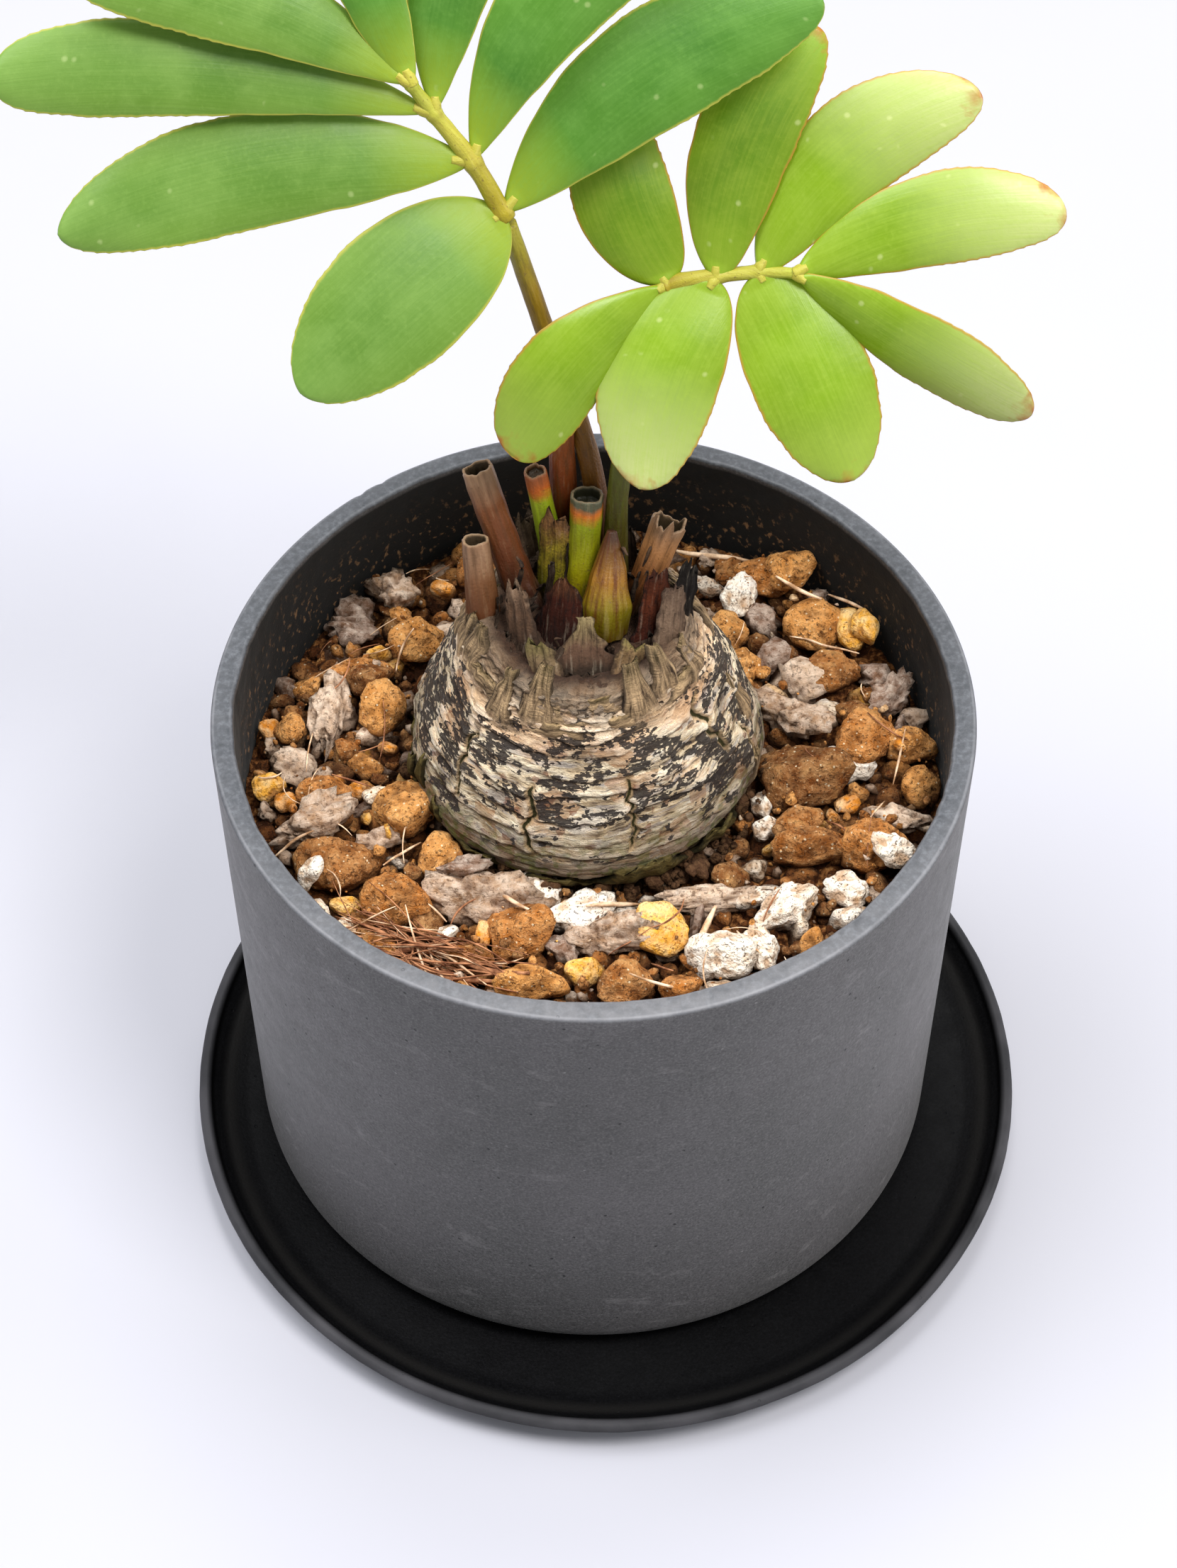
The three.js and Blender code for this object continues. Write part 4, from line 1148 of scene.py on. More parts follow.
STALKS = [
    {"node": "stalk_a", "centres": [(0.2, 15, 114), (-0.4, 19.2, 134.5), (-8, 24.8, 161), (-12.4, 25.8, 178)],
     "radii": (2.1, 1.7, 1.45, 1.35),
     "stops": [(0.02, "2e1608"), (0.25, "5c3410"), (0.5, "7c5410"), (0.75, "846a16"), (0.95, "8c8424")]},
    {"node": "stalk_b", "centres": [(3.3, 12.2, 114), (3.6, 15, 133), (6, 21, 150), (9.4, 26.6, 163)],
     "radii": (2.1, 1.65, 1.4, 1.25),
     "stops": [(0.02, "3c3010"), (0.25, "4c4810"), (0.6, "56600f"), (0.95, "76861c")]}
]


def stem_material(name, stops, stripe="3a2a18", amount=0.5, roughness=0.5):
    """A stalk's skin: stops are colours along it, from its base."""
    s = Shade(name, roughness, Specular_IOR_Level=0.28)
    s.base = s.ramp(s.sway(s.mark("along"), 3, 3, 0.14), stops)
    line = s.noise(0.8, 4, s.stretch((1, 1, 0.12), s.mark("grain", "Vector")), 0.6)
    s.stain(stripe, line, 0.52, 0.34, amount)
    s.stain(s.mix(0.3, s.base, "ffe2b0"), line, 0.56, 0.72, 0.25)
    s.stain("5a4028", s.noise(0.6, 3), 0.64, 0.7, 0.55)
    s.bump(s.jitter(line, 0.4, 3, 0.5), 0.22, 0.8)
    return s


def round_grain(radius, turn, path):
    """A grain position in millimetres round and along a limb, with no seam."""
    length = np.concatenate([[0], np.cumsum(np.linalg.norm(np.diff(path, axis=0), axis=1))])[:, None]
    return round_line(radius, turn, length)


def limb_marks(rings, line, share, turn):
    grain = round_grain(np.linalg.norm(rings - line[:, None], axis=2).mean(), turn, line)
    return {"along": closed(share[:, None] + 0 * turn, 0, 1),
            "grain": closed(grain, grain[0].mean(0), grain[-1].mean(0))}


def stalk(spec, seed):
    rings, line, share, turn = limb_rings(spec["centres"], spec["radii"], 28, 150)
    flare = 1 + 0.18 * np.exp(-share / 0.05)[:, None]
    ribs = 1 + 0.035 * np.cos(5 * turn + 2 * share[:, None]) + 0.03 * wander(rings, 3, seed)
    rings = swelled(rings, line, flare * ribs)
    skin = stem_material(spec["node"] + "_skin", spec["stops"], roughness=0.42).done()
    add_piece(spec["node"] + "_limb", *ring_body(rings), "stalk", skin, [spec["node"]],
              limb_marks(rings, line, share, turn))


# Cut leaf stalks: name, base and top, radii there, depth of the hollow, how ragged the end is, colours along
# the stalk with their places, colour of the cut face, and colour inside
STUBS = [
    ("stub_centre", (-1.8, 9.3, 114), (-1.1, 14.1, 134), 2.5, 2.55, 1.6, 0.2,
     "887208 8a8606 78800a b4601c 4c4c38", (0.1, 0.4, 0.8, 0.89, 0.95), "4c4c3c", "14180c"),
    ("stub_tall", (-10.4, 9.4, 114), (-17.8, 17.7, 136), 2.6, 2.45, 7, 0.3,
     "2c160c 582c14 6c3e20 8c6c50", (0.05, 0.4, 0.75, 0.95), "8a6c50", "120e08"),
    ("stub_low", (-16.6, 4.6, 113), (-18, 9.8, 128.6), 2.8, 2.1, 6, 0.2,
     "3c281a 563018 6a4428 84644a", (0.05, 0.3, 0.6, 0.9), "8c7458", "10100a"),
    ("stub_green", (-5.4, 14, 114), (-8.9, 16.3, 137), 2, 1.75, 0.6, 0.5,
     "5c5208 768a12 869414 a8541c 8a4c28", (0.1, 0.5, 0.78, 0.88, 0.97), "6a4428", "38200f"),
    ("stub_right", (5.9, 8.2, 114), (11.9, 13.2, 130.4), 2.0, 2.75, 4, 1.6,
     "3c2010 784824 9a6a40 7c5e44", (0.05, 0.4, 0.7, 0.95), "5c4632", "140c06"),
    ("stub_striped", (-4.2, 17.5, 114), (-5, 19.2, 143), 2, 1.9, 2, 0.3,
     "2c1206 5c260c 783c14", (0.1, 0.5, 0.9), "5c3a20", "180e06")
]
GREEN_STUBS = ("stub_centre", "stub_green")
STUB_WALL = 0.5
STUB_SIDES = 40
STUB_ROWS = 70
BORE_ROWS = 8


def stub(row, seed):
    name, base, top, foot, end, deep, ragged, colours, stages, face, bore = row
    base, top = np.array(base, float), np.array(top, float)
    axis = unit(top - base)
    middle = (base + top) / 2
    radii = (foot, (foot + end) / 2, end)
    rings, line, share, turn = limb_rings([base, middle, top], radii, STUB_SIDES, STUB_ROWS)
    ribs = 1 + 0.04 * np.cos(4 * turn + seed) + 0.025 * np.cos(11 * turn + 2 * seed)
    ribs = ribs + 0.05 * wander(rings * (1, 1, 0.3), 1.4, seed)
    torn_foot = 0.3 + 0.25 * wander(rings * (1, 1, 0.15), 0.9, seed + 2)
    ribs = ribs + torn_foot * np.exp(-share / 0.14)[:, None]
    outer = swelled(rings, line, ribs)
    # The cut end is uneven, and the wall turns in over it to the hollow
    cut = ragged * wander(round_line(1, turn, 0), 0.35, seed + 5)
    close = smooth_step(share, 0.75, 1)[:, None]
    outer = outer + (close * (cut - 0.3 * ragged))[..., None] * axis
    last = outer[-1]
    middle = last.mean(0)
    toward = unit(middle + axis * 0.01 - last)
    lip = [last + toward * inward + axis * rise
           for inward, rise in ((0.12, 0.1), (0.4, 0.12), (STUB_WALL - 0.1, 0.02))]
    mouth = lip[-1]
    depths = np.linspace(0.25, deep, BORE_ROWS)
    hole = [mouth - axis * depth + unit(middle - mouth) * 0.12 for depth in depths]
    end_wall = hole[-1] + (hole[-1].mean(0) - hole[-1]) * 0.5
    end_wall = end_wall + 0.25 * axis * wander(hole[-1], 0.8, seed)[:, None]
    rings = np.concatenate([outer, lip, hole, [end_wall]])
    around = 0 * turn
    cut_face = np.concatenate([np.zeros(STUB_ROWS), [0.6, 1, 1], np.zeros(BORE_ROWS + 1)])
    hollow = np.concatenate([np.zeros(STUB_ROWS + len(lip)), np.linspace(0.85, 1, BORE_ROWS), [1]])
    along = np.concatenate([share, np.ones(len(rings) - len(share))])
    grain = round_grain(end, turn, rings.mean(1))
    marks = {"along": closed(along[:, None] + around, 0, 1),
             "face": closed(cut_face[:, None] + around, 0, 0),
             "hollow": closed(hollow[:, None] + around, 0, 1),
             "grain": closed(grain, (0, 0, 0), (0, 0, grain[-1, 0, 2]))}
    green = name in GREEN_STUBS
    stops = list(zip(stages, colours.split()))
    s = stem_material(name + "_skin", stops, "4a3018", 0.35 if green else 0.6, 0.45)
    s.over(s.mark("face"), s.mix(s.noise(0.6, 3), face, "8c7458"))
    s.over(s.mark("hollow"), s.mix(s.noise(0.5, 3), bore, "2c2818"))
    add_piece(name + "_cut", *ring_body(rings), "green_stub" if green else "stub", s.done(), [name], marks)


def bud():
    centres = [(1.8, 2.6, 115.5), (1.9, 4.2, 120.4), (2.3, 7.4, 125.2), (2.7, 10, 130.4)]
    rings, line, share, turn = limb_rings(centres, (3.2, 3.7, 2.5, 0.7), 44, 80)
    keel = 1 + 0.05 * np.cos(3 * turn) + 0.035 * np.cos(9 * turn + 6 * share[:, None])
    rings = swelled(rings, line, keel + 0.05 * wander(rings * (1, 1, 0.4), 1.6, 22))
    stops = [(0.05, "564406"), (0.3, "6c6008"), (0.55, "80560c"), (0.8, "5c3a0e"), (0.95, "341c0c")]
    skin = stem_material("bud_skin", stops, "4c2208", 0.85, 0.45).done()
    add_piece("bud_leaf_base", *ring_body(rings), "green_stub", skin, ["bud_scale"],
              limb_marks(rings, line, share, turn))


# Dry scale leaves round the crown: name, base, tip, width, how ragged the tip is, and colours from base to
# tip. Some also have their own face, how sharply they narrow, how far they cup, and places of the colours.
SCALES = [
    ("scale_maroon", (-5.6, -0.2, 116), (-4.7, 7.6, 123.4), 11, 0.1, "1e0a04 301006 50301c",
     {"point": 0.75, "places": (0.1, 0.6, 0.95)}),
    ("scale_torn", (-6.2, 9.9, 116), (-6, 13, 134.4), 6.4, 0.3, "76700c 80701c 74502c 5e422c",
     {"face": (-0.4, -1, 0.6), "places": (0.1, 0.4, 0.7, 0.95)}),
    ("scale_front", (-1.2, -8, 116), (-1.7, 0.4, 122), 17, 0.05, "241a12 503a2c 80704e",
     {"point": 1.4, "cup": 0.04, "places": (0.15, 0.5, 0.95)}),
    ("scale_left", (-11.2, -2.6, 116), (-12.9, 5.2, 127), 6.4, 0.35, "281a12 543e2e 7c6450", {}),
    ("scale_left_front", (-7.6, -8.4, 116), (-9.2, -3.6, 122.4), 6, 0.35, "5c4836 6c5a40 5e562e", {}),
    ("scale_right_front", (5.6, -7.6, 116), (6.9, -3.2, 122.6), 6, 0.35, "6e563e 765e40 665c32", {}),
    ("scale_right", (9, 0.4, 116), (10.2, 7.6, 127.4), 5.2, 0.3, "341208 4c2210 22100a",
     {"face": (0.3, -1, 0.5)}),
    ("scale_striped", (11.6, -3, 115), (13, 5.2, 127), 5.8, 0.3, "5c4838 665242 3c2c24",
     {"face": (0.6, -1, 0.5)}),
    ("scale_black", (13.4, 2.6, 115), (15.4, 8.6, 127.4), 5, 0.3, "241c16 14100e 1c1814",
     {"face": (0.8, -1, 0.4)}),
    ("scale_back_right", (8.6, 14.4, 115), (10.2, 18.6, 126), 6, 0.4, "4c3a2e 5c4a3a 4c3c30", {}),
    ("scale_back", (-0.2, 19, 114), (0.2, 23, 125), 6, 0.4, "54423a 665444 4a3a2e", {}),
    ("scale_back_left", (-9.8, 15.4, 115), (-11.6, 20, 127), 6, 0.4, "463628 5a4838 5e5040", {})
]
BLACK_STRIPED = ("scale_black", "scale_maroon", "scale_right")
TORN_BASES = 44
DRY_CURLS = 46


def blade_frame(reach, face, roll=0):
    """Unit directions of a blade: along it, out of its face, and sideways."""
    along = unit(reach)
    up = unit(np.asarray(face, float) - along * np.dot(face, along))
    turn = math.radians(roll)
    up = up * math.cos(turn) + np.cross(along, up) * math.sin(turn)
    return along, up, np.cross(along, up)


def scale_outline(t, point):
    return np.maximum(0.1, (1 - t) ** point) * (0.95 + 0.35 * t)


def blade_body(top, bottom):
    """A closed thin body from two grids of points, the upper and the lower side."""
    return ring_body(np.concatenate([top, bottom[:, ::-1]], axis=1))


def scale_sheet(base, reach, width, face, seed, ragged, cup, thick=0.45, rows=60, columns=36, sink=3.5,
                flare=0.35, curl=0.0, point=0.4):
    """A torn, fibrous scale leaf that grows out of the trunk's skin: its points, faces and marks."""
    along, up, side = blade_frame(reach, face)
    length = float(np.linalg.norm(reach))
    v = np.linspace(-1, 1, columns)[None, :]
    row = np.linspace(0, 1, rows)[:, None]
    seeds = places(v[0] * width / 2, 0, seed)
    tear = ragged * (0.5 * (wander(seeds, 1.3, seed) + 1) * 0.7 + 0.3 * (wander(seeds, 0.45, seed + 1) + 1))
    t = row * (1 - tear)[None, :]
    start = -sink / length
    t = start + t * (1 - start)
    shape = scale_outline(np.clip(t, 0, 0.97), point) * (1 + flare * smooth_step(t, 0.35, start))
    edge = 0.12 * wander(places(seed, t * length, np.sign(v)), 1.2, seed + 2)
    half = width / 2 * (shape + edge * np.abs(v) ** 3)
    depth = -cup * v * v * shape
    fibres = places(v * width * 1.4, t * length * 0.2, seed)
    place = places(v * width / 2, t * length, 0)
    depth = depth + 0.16 * np.sin(v * 9 + seed) + 0.14 * wander(fibres, 0.8, seed + 3)
    depth = depth + 0.25 * wander(place, 2.5, seed + 4)
    depth = depth + curl * np.maximum(t, 0) ** 2
    middle = np.asarray(base, float) + along * (t * length)[..., None]
    top = middle + side * (half * v)[..., None] + up * depth[..., None]
    wall = thick * (1 - 0.6 * np.abs(v) ** 4) * (1 - 0.65 * smooth_step(row, 0.6, 1))
    bottom = top - up * (wall * (1 + 1.2 * (1 - row)))[..., None]
    points, faces = blade_body(top, bottom)
    return points, faces, sheet_marks(np.clip(t, 0, 1), v, half * v, length)


def scale_material(name, stops, stripe):
    s = Shade(name, 0.9, Specular_IOR_Level=0.15)
    s.base = s.ramp(s.sway(s.mark("along"), 2, 3, 0.5), stops)
    line = s.noise(0.75, 5, s.stretch((1, 1, 0.16), s.mark("grain", "Vector")), 0.62)
    s.stain(stripe, line, 0.5, 0.36, 0.7)
    s.stain(s.mix(0.25, s.base, "efdcc0"), line, 0.55, 0.72, 0.4)
    s.stain(stripe, s.sway(s.mark("rim"), 0.9, 3, 0.5), 0.84, 0.98, 0.8)
    s.stain(stripe, s.noise(0.8, 4), 0.58, 0.68, 0.5)
    s.bump(s.jitter(line, 0.4, 3, 0.6), 0.4, 0.9)
    return s.done()


def scales():
    for k, (name, base, tip, width, ragged, colours, own) in enumerate(SCALES):
        base, tip = np.array(base, float), np.array(tip, float)
        face = own.get("face", (base[0] - CROWN_AXIS[0], base[1] - CROWN_AXIS[1] - 3, 4))
        points, faces, marks = scale_sheet(base, tip - base, width, face, 200 + 7 * k, ragged,
                                           own.get("cup", 0.16) * width, point=own.get("point", 0.4))
        stops = list(zip(own.get("places", (0.05, 0.5, 0.95)), colours.split()))
        skin = scale_material(name + "_skin", stops, "100a08" if name in BLACK_STRIPED else "2c2018")
        add_piece(name + "_leaf", points, faces, "scale", skin, [name], marks)


def crown_litter():
    """Torn bases and dry curls between the named scales, all round the crown."""
    random = np.random.default_rng(12)
    centre = np.array([*CROWN_AXIS, 0])
    bases, strips = [], []
    for k in range(TORN_BASES):
        turn = 2 * math.pi * (k + random.uniform(-0.3, 0.3)) / TORN_BASES
        ring = k % 3
        away = (15.6, 13.8, 11.4)[ring] + random.uniform(-0.6, 0.6)
        out = heading(turn)
        base = centre + out * away + (0, 0, (113, 114.6, 115.6)[ring] + random.uniform(-0.8, 0.8))
        front = math.sin(turn) < -0.2
        tall = random.uniform(2.5, 5) if front else random.uniform(4, 9)
        lean = random.uniform(-0.5, 0) - 0.15 * ring
        reach = (out * lean + (random.normal(0, 0.15), random.normal(0, 0.15), 1)) * tall
        bases.append(scale_sheet(base, reach, random.uniform(3.6, 6.4), out + (0, 0, 0.4), 400 + 3 * k,
                                 0.5, 0.5, 0.35, 22, 14, 3, 0.8))
    for k in range(DRY_CURLS):
        turn = random.uniform(0, 2 * math.pi) if k % 2 else random.uniform(0.1, 3)
        away = random.uniform(4, 13)
        out = heading(turn)
        base = centre + out * away + (0, 0.8, 114)
        tall = random.uniform(3, 6) if math.sin(turn) < 0 else random.uniform(5, 14)
        top = base + (random.normal(0, 0.12) * tall, random.uniform(0, 0.25) * tall, tall)
        curl = top + random.normal(0, 0.8, 3)
        reach = top - base
        if k % 3:
            width = random.uniform(1.2, 2.6)
            face = out + random.normal(0, 0.5, 3) + (0, 0, 0.3)
            bases.append(scale_sheet(base, reach, width, face, 1200 + 5 * k, 0.3, 0.6, 0.3, 24, 10, 3, 0.3,
                                     random.normal(0, 1)))
        else:
            strips.append(strand([base, (base + top) / 2 + random.normal(0, 0.4, 3), top, curl],
                                 random.uniform(0.15, 0.4), 6, 14, 0.4))
    # Their dark browns are partly the bases' own colour and partly painted shade between the crown's parts
    stops = [(0.1, "46362a"), (0.5, "382a20"), (0.95, "2a2018")]
    join_sheets("crown_torn_bases", bases, scale_material("torn_base_skin", stops, "1a120c"))
    add_piece("crown_dry_strips", *join(strips), "scale", fibre_material("dry_strip", "140c08", "4c3828"))


# Fronds: a leaflet's row gives the node that it grows from, its reach, which of the frond's tones it has,
# its width, how far it bows, its roll in degrees, and how slender it is at its root and tip

# A tone of 1 picks a darker copy, painted shade for leaflets that lie behind; on frond B a tone of 2 has less
# of the painted tip highlight
FROND_A = {
    "name": "frond_a", "face": (0.15, -0.74, 0.66), "slot": "leaf_green",
    "rib": [(-12.7, 25.9, 178.9), (-17.3, 27.7, 188), (-22.7, 29.9, 195), (-25.9, 29.9, 200.6)],
    "radii": (1.4, 1.3, 1.1, 0.8),
    "nodes": [(-13, 26, 180), (-17.3, 27.7, 188), (-22.5, 29.8, 195), (-25.4, 29.9, 200)],
    "leaflets": [(0, (-29, -21, -15.5), 0, 20.5, 1, 0, 0.54, 0.58),
                 (1, (-58, -11.5, -3.5), 0, 16.2, 4, 0, 0.74, 0.56),
                 (2, (-60.5, -2.5, 8.5), 0, 13.4, 3.2, 0, 0.82, 0.36),
                 (3, (-47, 5, 18), 0, 14, 3, 0, 0.8, 0.4),
                 (3, (-9, 24, 39.5), 1, 11.6, -3.5, 0, 0.64, 0.42),
                 (2, (15, 26, 36.5), 1, 15, -4, 0, 0.8, 0.4),
                 (1, (33, 19.5, 31.5), 1, 15.4, -6.5, 0, 0.78, 0.42),
                 (0, (45, 16.5, 25), 1, 17, -5, 0, 0.76, 0.56)]
}
FROND_B = {
    "name": "frond_b", "face": (-0.05, -0.72, 0.69), "slot": "leaf_yellow",
    "rib": [(10, 27.1, 164.4), (14, 27.2, 166), (24, 27.6, 167), (30.4, 26.2, 168)],
    "radii": (1.3, 1.2, 1, 0.7),
    "nodes": [(10.6, 27, 165.2), (17.7, 26.9, 166.3), (24, 27.6, 167), (29.4, 26.3, 168)],
    "leaflets": [(0, (-9, 15, 21.5), 1, 14.5, -2, 0, 0.46, 0.42),
                 (1, (13.5, 21, 30), 1, 14.6, -3.2, 0, 0.57, 0.44),
                 (2, (31, 13, 23.5), 0, 15, -5, 0, 0.63, 0.48),
                 (3, (38.5, 2, 10.5), 0, 13.4, -3, 0, 0.7, 0.48),
                 (3, (34.5, -16, -13), 0, 12.4, -1, 38, 0.8, 0.52),
                 (2, (14.5, -20, -23), 2, 17.8, -0.6, 0, 0.5, 0.52),
                 (1, (-11, -19.5, -24), 0, 17.6, 2.6, 0, 0.58, 0.56),
                 (0, (-23, -16.5, -19), 2, 15, 3.4, -28, 0.9, 0.46)]
}
LEAF_ARCH = 2.4
LEAF_CUP = 1.2
LEAF_THICK = 0.55
TOOTH_STEP = 1.7
LEAF_ROWS = 120
LEAF_COLUMNS = 22
RIB_ROWS = 110


def leaflet_outline(t, root, tip):
    widest = root / (root + tip)
    full = widest ** root * (1 - widest) ** tip
    return np.clip(t, 0, 1) ** root * (1 - np.clip(t, 0, 1)) ** tip / full


def leaflet(frond, index, skins):
    node, reach, tone, width, bow, roll, root, tip = frond["leaflets"][index]
    seed = 500 + 13 * index + (200 if frond["name"] == "frond_b" else 0)
    _, up, side = blade_frame(reach, frond["face"], roll)
    reach = np.array(reach, float)
    length = float(np.linalg.norm(reach))
    s = np.linspace(0, 1, LEAF_ROWS)
    t = (0.35 * s + 0.65 * (0.5 - 0.5 * np.cos(math.pi * s)))[:, None]
    v = np.sin(np.linspace(-1, 1, LEAF_COLUMNS) * math.pi / 2)[None, :]
    swell = 4 * t * (1 - t)
    shape = leaflet_outline(t, root, tip)
    stem = 0.11 * (1 - smooth_step(t, 0.02, 0.1))
    half = width / 2 * np.maximum(np.maximum(shape, stem), 0.012)
    # Small forward-pointing teeth on the outer half, and a slightly wavy edge
    steps = t * length / TOOTH_STEP + 0.37 * seed
    tooth = (steps % 1) ** 2 * (1 - smooth_step(steps % 1, 0.86, 1))
    strength = smooth_step(t, 0.42, 0.6) * smooth_step(t, 0.995, 0.95)
    unevenness = 0.12 * wander(places(t * length, 0, seed), 3, seed)
    margin = np.abs(v) ** 6 * np.sign(v)
    grown = half * v + margin * (0.2 * tooth * strength + unevenness * smooth_step(t, 0.03, 0.2))
    depth = LEAF_ARCH * swell - LEAF_CUP * v * v * np.maximum(shape, 0.1)
    place = places(grown, t * length, seed)
    depth = depth + 0.35 * v * v * wander(place * (0, 1, 1), 9, seed + 1) * smooth_step(t, 0.1, 0.3)
    depth = depth + 0.3 * wander(place, 13, seed + 2) * smooth_step(t, 0.05, 0.3)
    # Fine parallel veins, raised a little
    veins = np.sin(v * width * 4.2 + 0.8 * wander(place, 6, seed + 3))
    depth = depth + 0.012 * veins * smooth_step(t, 0.05, 0.2)
    base = np.array(frond["nodes"][node], float)
    centre = base + reach * t + side * (bow * swell)
    middle = centre[:, None] + side * grown[..., None] + up * depth[..., None]
    thick = LEAF_THICK * (1 - 0.72 * np.abs(v) ** 8) + 0.9 * (1 - smooth_step(t, 0.015, 0.07)) * (1 - v ** 2)
    thick = up * (thick * (0.35 + 0.65 * smooth_step(t, 1.0, 0.985)) / 2)[..., None]
    points, faces = blade_body(middle + thick, middle - thick)
    share, across = both_sides(t + 0 * v), both_sides(grown)
    grain = places(across, share * length, seed)
    under = np.concatenate([0 * grown, 0 * grown + 1], axis=1)
    marks = {"along": closed(share, 0, 1), "across": closed(np.abs(both_sides(v + 0 * t)), 0, 0),
             "grain": closed(grain, (0, 0, seed), (0, length, seed)), "under": closed(under, 0, 0)}
    add_piece(f"{frond['name']}_leaflet_{index + 1}", points, faces, frond["slot"], skins[tone], marks=marks)


def leaf_material(name, tone):
    """Leaf skin. tone gives its colours and how strong each kind of marking is."""
    s = Shade(name, tone["roughness"], Specular_IOR_Level=0.26, Coat_Weight=tone["coat"], Coat_Roughness=0.3)
    grain, along, across = s.mark("grain", "Vector"), s.mark("along"), s.mark("across")
    s.base = s.mix(s.level(s.noise(17, 2, grain), 0.36, 0.64), tone["deep"], tone["main"])
    s.stain(tone["pale"], s.noise(5, 4, grain), 0.45, 0.7, 0.25)
    s.stain(tone["side"], across, 0.35, 1, 0.5)
    # Towards the tip the colour turns to the tone's tip colour; on frond B's tones this pale tip is a painted
    # highlight
    s.stain(tone["tip"], along, tone["tip_from"], 1, tone["tip_amount"])
    s.stain(tone["foot"], along, 0.26, 0.02, 0.8)
    vein = s.noise(0.36, 3, s.stretch((1, 0.03, 1), grain), 0.5)
    fine = s.noise(0.7, 4, grain)
    s.stain(tone["pale"], vein, 0.42, 0.62, tone["veins"])
    s.stain(tone["pale"], fine, 0.5, 0.7, 0.2)
    dots = s.times(s.level(s.cells(3.4, grain), 0.16, 0.07), s.level(s.noise(5, 2, grain), 0.54, 0.6))
    s.over(s.times(dots, 0.3), tone["dot"])
    # A thin paler or browner margin, and a scorched rim towards the tip
    s.stain(tone["margin"], s.sway(across, 1.6, 4, 0.03, grain), 0.945, 0.985, 0.8)
    scorch = s.sum(s.times(along, 1.1), s.times(s.noise(3, 4, grain), tone["scorch"]))
    scorch = s.times(s.level(scorch, 1.2, 1.28), s.level(across, 0.1, 0.9, 0.4, 1))
    s.over(s.times(scorch, 0.9), tone["burnt"])
    s.over(s.times(s.mark("under"), 0.45), tone["back"])
    s.gloss(s.level(s.noise(5, 4, grain), 0.3, 0.7, tone["roughness"] - 0.06, tone["roughness"] + 0.08))
    s.bump(s.sum(s.times(vein, 0.7), s.times(fine, 0.6)), 0.07, 0.6)
    return s.done()


LEAF_A = {"roughness": 0.45, "coat": 0.0, "deep": "4c7022", "main": "5a7c2e", "pale": "749344",
          "side": "64832a", "veins": 0.12, "tip_from": 0.75, "tip_amount": 0.25, "tip": "7a9a4c",
          "foot": "8c9c20", "dot": "b0bc80", "margin": "a09a3c", "scorch": 0.2, "burnt": "8a6428",
          "back": "7a9058"}
# Darker copies for the leaflets that lie behind: painted shade
LEAF_A_SHADED = dict(LEAF_A, deep="3a681c", main="467420", pale="64903c", side="4e7a20", tip="648e3c")
# Frond B's pale tip colour is a painted highlight
LEAF_B = {"roughness": 0.34, "coat": 0.1, "deep": "668412", "main": "70900e", "pale": "8ca436",
          "side": "769014", "veins": 0.2, "tip_from": 0.4, "tip_amount": 0.85, "tip": "b6bc7c",
          "foot": "7c961c", "dot": "c8cc90", "margin": "a07428", "scorch": 0.34, "burnt": "9a541e",
          "back": "90a054"}
LEAF_B_SHADED = dict(LEAF_B, deep="4e7208", main="60800a", pale="84982c", side="6c840c", tip="7c9a24",
                   tip_from=0.6, coat=0.05, roughness=0.42)
# The same with less of the painted tip highlight
LEAF_B_EVEN = dict(LEAF_B, tip_from=0.6, tip_amount=0.45, tip="a0ac54")
KNOB_RADII = (1.0, 0.85, 0.65)


def rib(frond):
    """The rib between the leaflets, with a callused swelling where each leaflet joins."""
    name = frond["name"]
    rings, line, share, turn = limb_rings(frond["rib"], frond["radii"], 28, RIB_ROWS)
    knots = [np.linalg.norm(line - node, axis=1).argmin() / (RIB_ROWS - 1) for node in frond["nodes"]]
    swell = 1 + sum(0.22 * np.exp(-((share - knot) / 0.035) ** 2) for knot in knots)
    rings = swelled(rings, line, swell[:, None] * (1 + 0.06 * wander(rings, 2, 77)))
    parts = [ring_body(rings)]
    marks = [limb_marks(rings, line, share, turn)]
    for k, (node, reach, _, _, bow, roll, *_) in enumerate(frond["leaflets"]):
        base = np.array(frond["nodes"][node], float)
        direction, up, side = blade_frame(reach, frond["face"], roll)
        end = base + direction * float(np.linalg.norm(reach)) * 0.05 + up * LEAF_ARCH * 0.19
        end = end + side * bow * 0.16 * 1.1
        centres = [base, (base + end) / 2, end]
        knob, line, share, turn = limb_rings(centres, KNOB_RADII, 18, 16, (0.2, 0.3, 1))
        bulge = 1 + 0.12 * wander(knob, 0.9, 300 + k) + 0.1 * np.sin(share * math.pi)[:, None]
        knob = swelled(knob, line, bulge)
        parts.append(ring_body(knob))
        marks.append(limb_marks(knob, line, 0 * share + 0.5, turn))
        marks[-1]["along"][-2:] = 0.5
    stops = [(0.1, "94861c"), (0.5, "a6a03a"), (0.9, "a0a438")]
    skin = stem_material(name + "_rib_skin", stops, "7a5a24", 0.35, 0.45).done()
    add_piece(name + "_rib", *join(parts), frond["slot"], skin, [name],
              {label: np.concatenate([lot[label] for lot in marks]) for label in marks[0]})


def fronds():
    for frond, tones in ((FROND_A, (LEAF_A, LEAF_A_SHADED)), (FROND_B, (LEAF_B, LEAF_B_SHADED, LEAF_B_EVEN))):
        skins = [leaf_material(f"{frond['name']}_tone_{k + 1}", tone) for k, tone in enumerate(tones)]
        rib(frond)
        for index in range(len(frond["leaflets"])):
            leaflet(frond, index, skins)


# Floor, light and camera

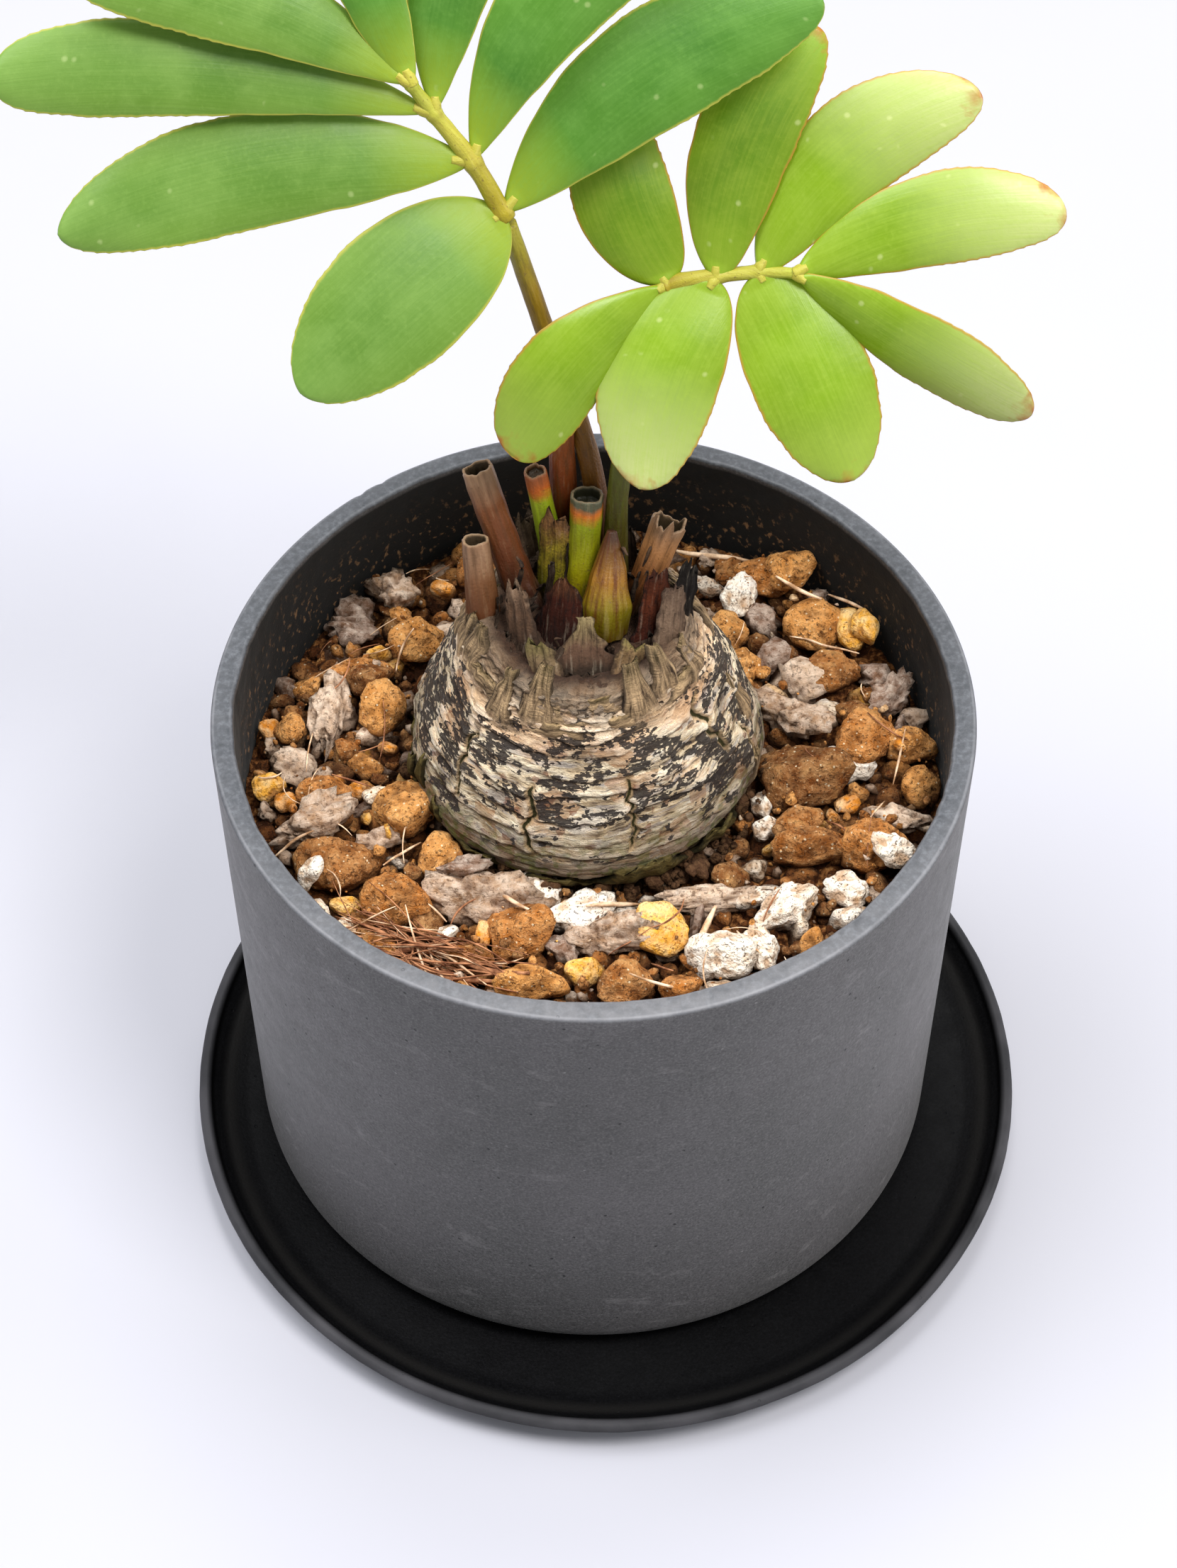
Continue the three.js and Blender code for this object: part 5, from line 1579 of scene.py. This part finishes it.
def floor():
    size = 1400
    points = [(-size, -size, 0), (size, -size, 0), (size, size, 0), (-size, size, 0)]
    mesh = bpy.data.meshes.new("floor")
    mesh.from_pydata((np.array(points) * MM).tolist(), [], [(0, 1, 2, 3)])
    s = Shade("floor_paper", 0.9, Specular_IOR_Level=0.2)
    s.base = s.mix(s.noise(60, 2), "adadb5", "afafb6")
    mesh.materials.append(s.done())
    add_object("floor", mesh)


def area_light(name, place, aim, size, power, colour):
    """A round lamp that shines from its place to its aim."""
    light = bpy.data.lights.new(name, "AREA")
    light.shape = "DISK"
    light.size = size
    light.energy = power
    light.color = colour
    lamp = add_object(name, light)
    lamp.location = place
    toward = np.array(aim, float) - place
    yaw = math.atan2(toward[0], -toward[1])
    pitch = math.atan2(math.hypot(toward[0], toward[1]), -toward[2])
    lamp.rotation_euler = (pitch, 0, yaw + math.pi)


def light():
    scene = bpy.context.scene
    world = bpy.data.worlds.new("studio")
    world.use_nodes = True
    background = world.node_tree.nodes["Background"]
    background.inputs[0].default_value = (0.95, 0.97, 1.0, 1)
    background.inputs[1].default_value = 0.68
    scene.world = world
    area_light("softbox_key", (0.36, -0.3, 1.12), (0, 0, 0.1), 0.42, 11.5, (1, 0.985, 0.965))
    area_light("softbox_back", (0.05, 0.5, 1.15), (0, 0, 0.1), 0.5, 6, (1, 0.99, 0.98))
    area_light("softbox_right", (1.8, 0.1, 0.42), (0, 0, 0.07), 1.0, 15, (1, 0.98, 0.96))
    area_light("softbox_left", (-1.0, 0.1, 2.0), (-0.5, 0, 0), 1.3, 38, (0.97, 0.98, 1))
    scene.view_settings.view_transform = "Standard"


def camera():
    eye = bpy.data.cameras.new("camera")
    eye.sensor_width = SENSOR
    eye.lens = FOCAL_PIXELS / IMAGE_HEIGHT * SENSOR
    eye.clip_start = 0.01
    holder = add_object("camera", eye)
    holder.location = CAMERA_PLACE
    holder.rotation_euler = (math.radians(CAMERA_TILT), 0, math.radians(CAMERA_TURN))
    bpy.context.scene.camera = holder


camera()
floor()
light()
saucer()
pot()
soil()
bark = trunk_material()
trunk(bark)
old_bark(bark)
for number, spec in enumerate(STALKS):
    stalk(spec, 41 + number)
for number, row in enumerate(STUBS):
    stub(row, 600 + 31 * number)
bud()
scales()
crown_litter()
fronds()
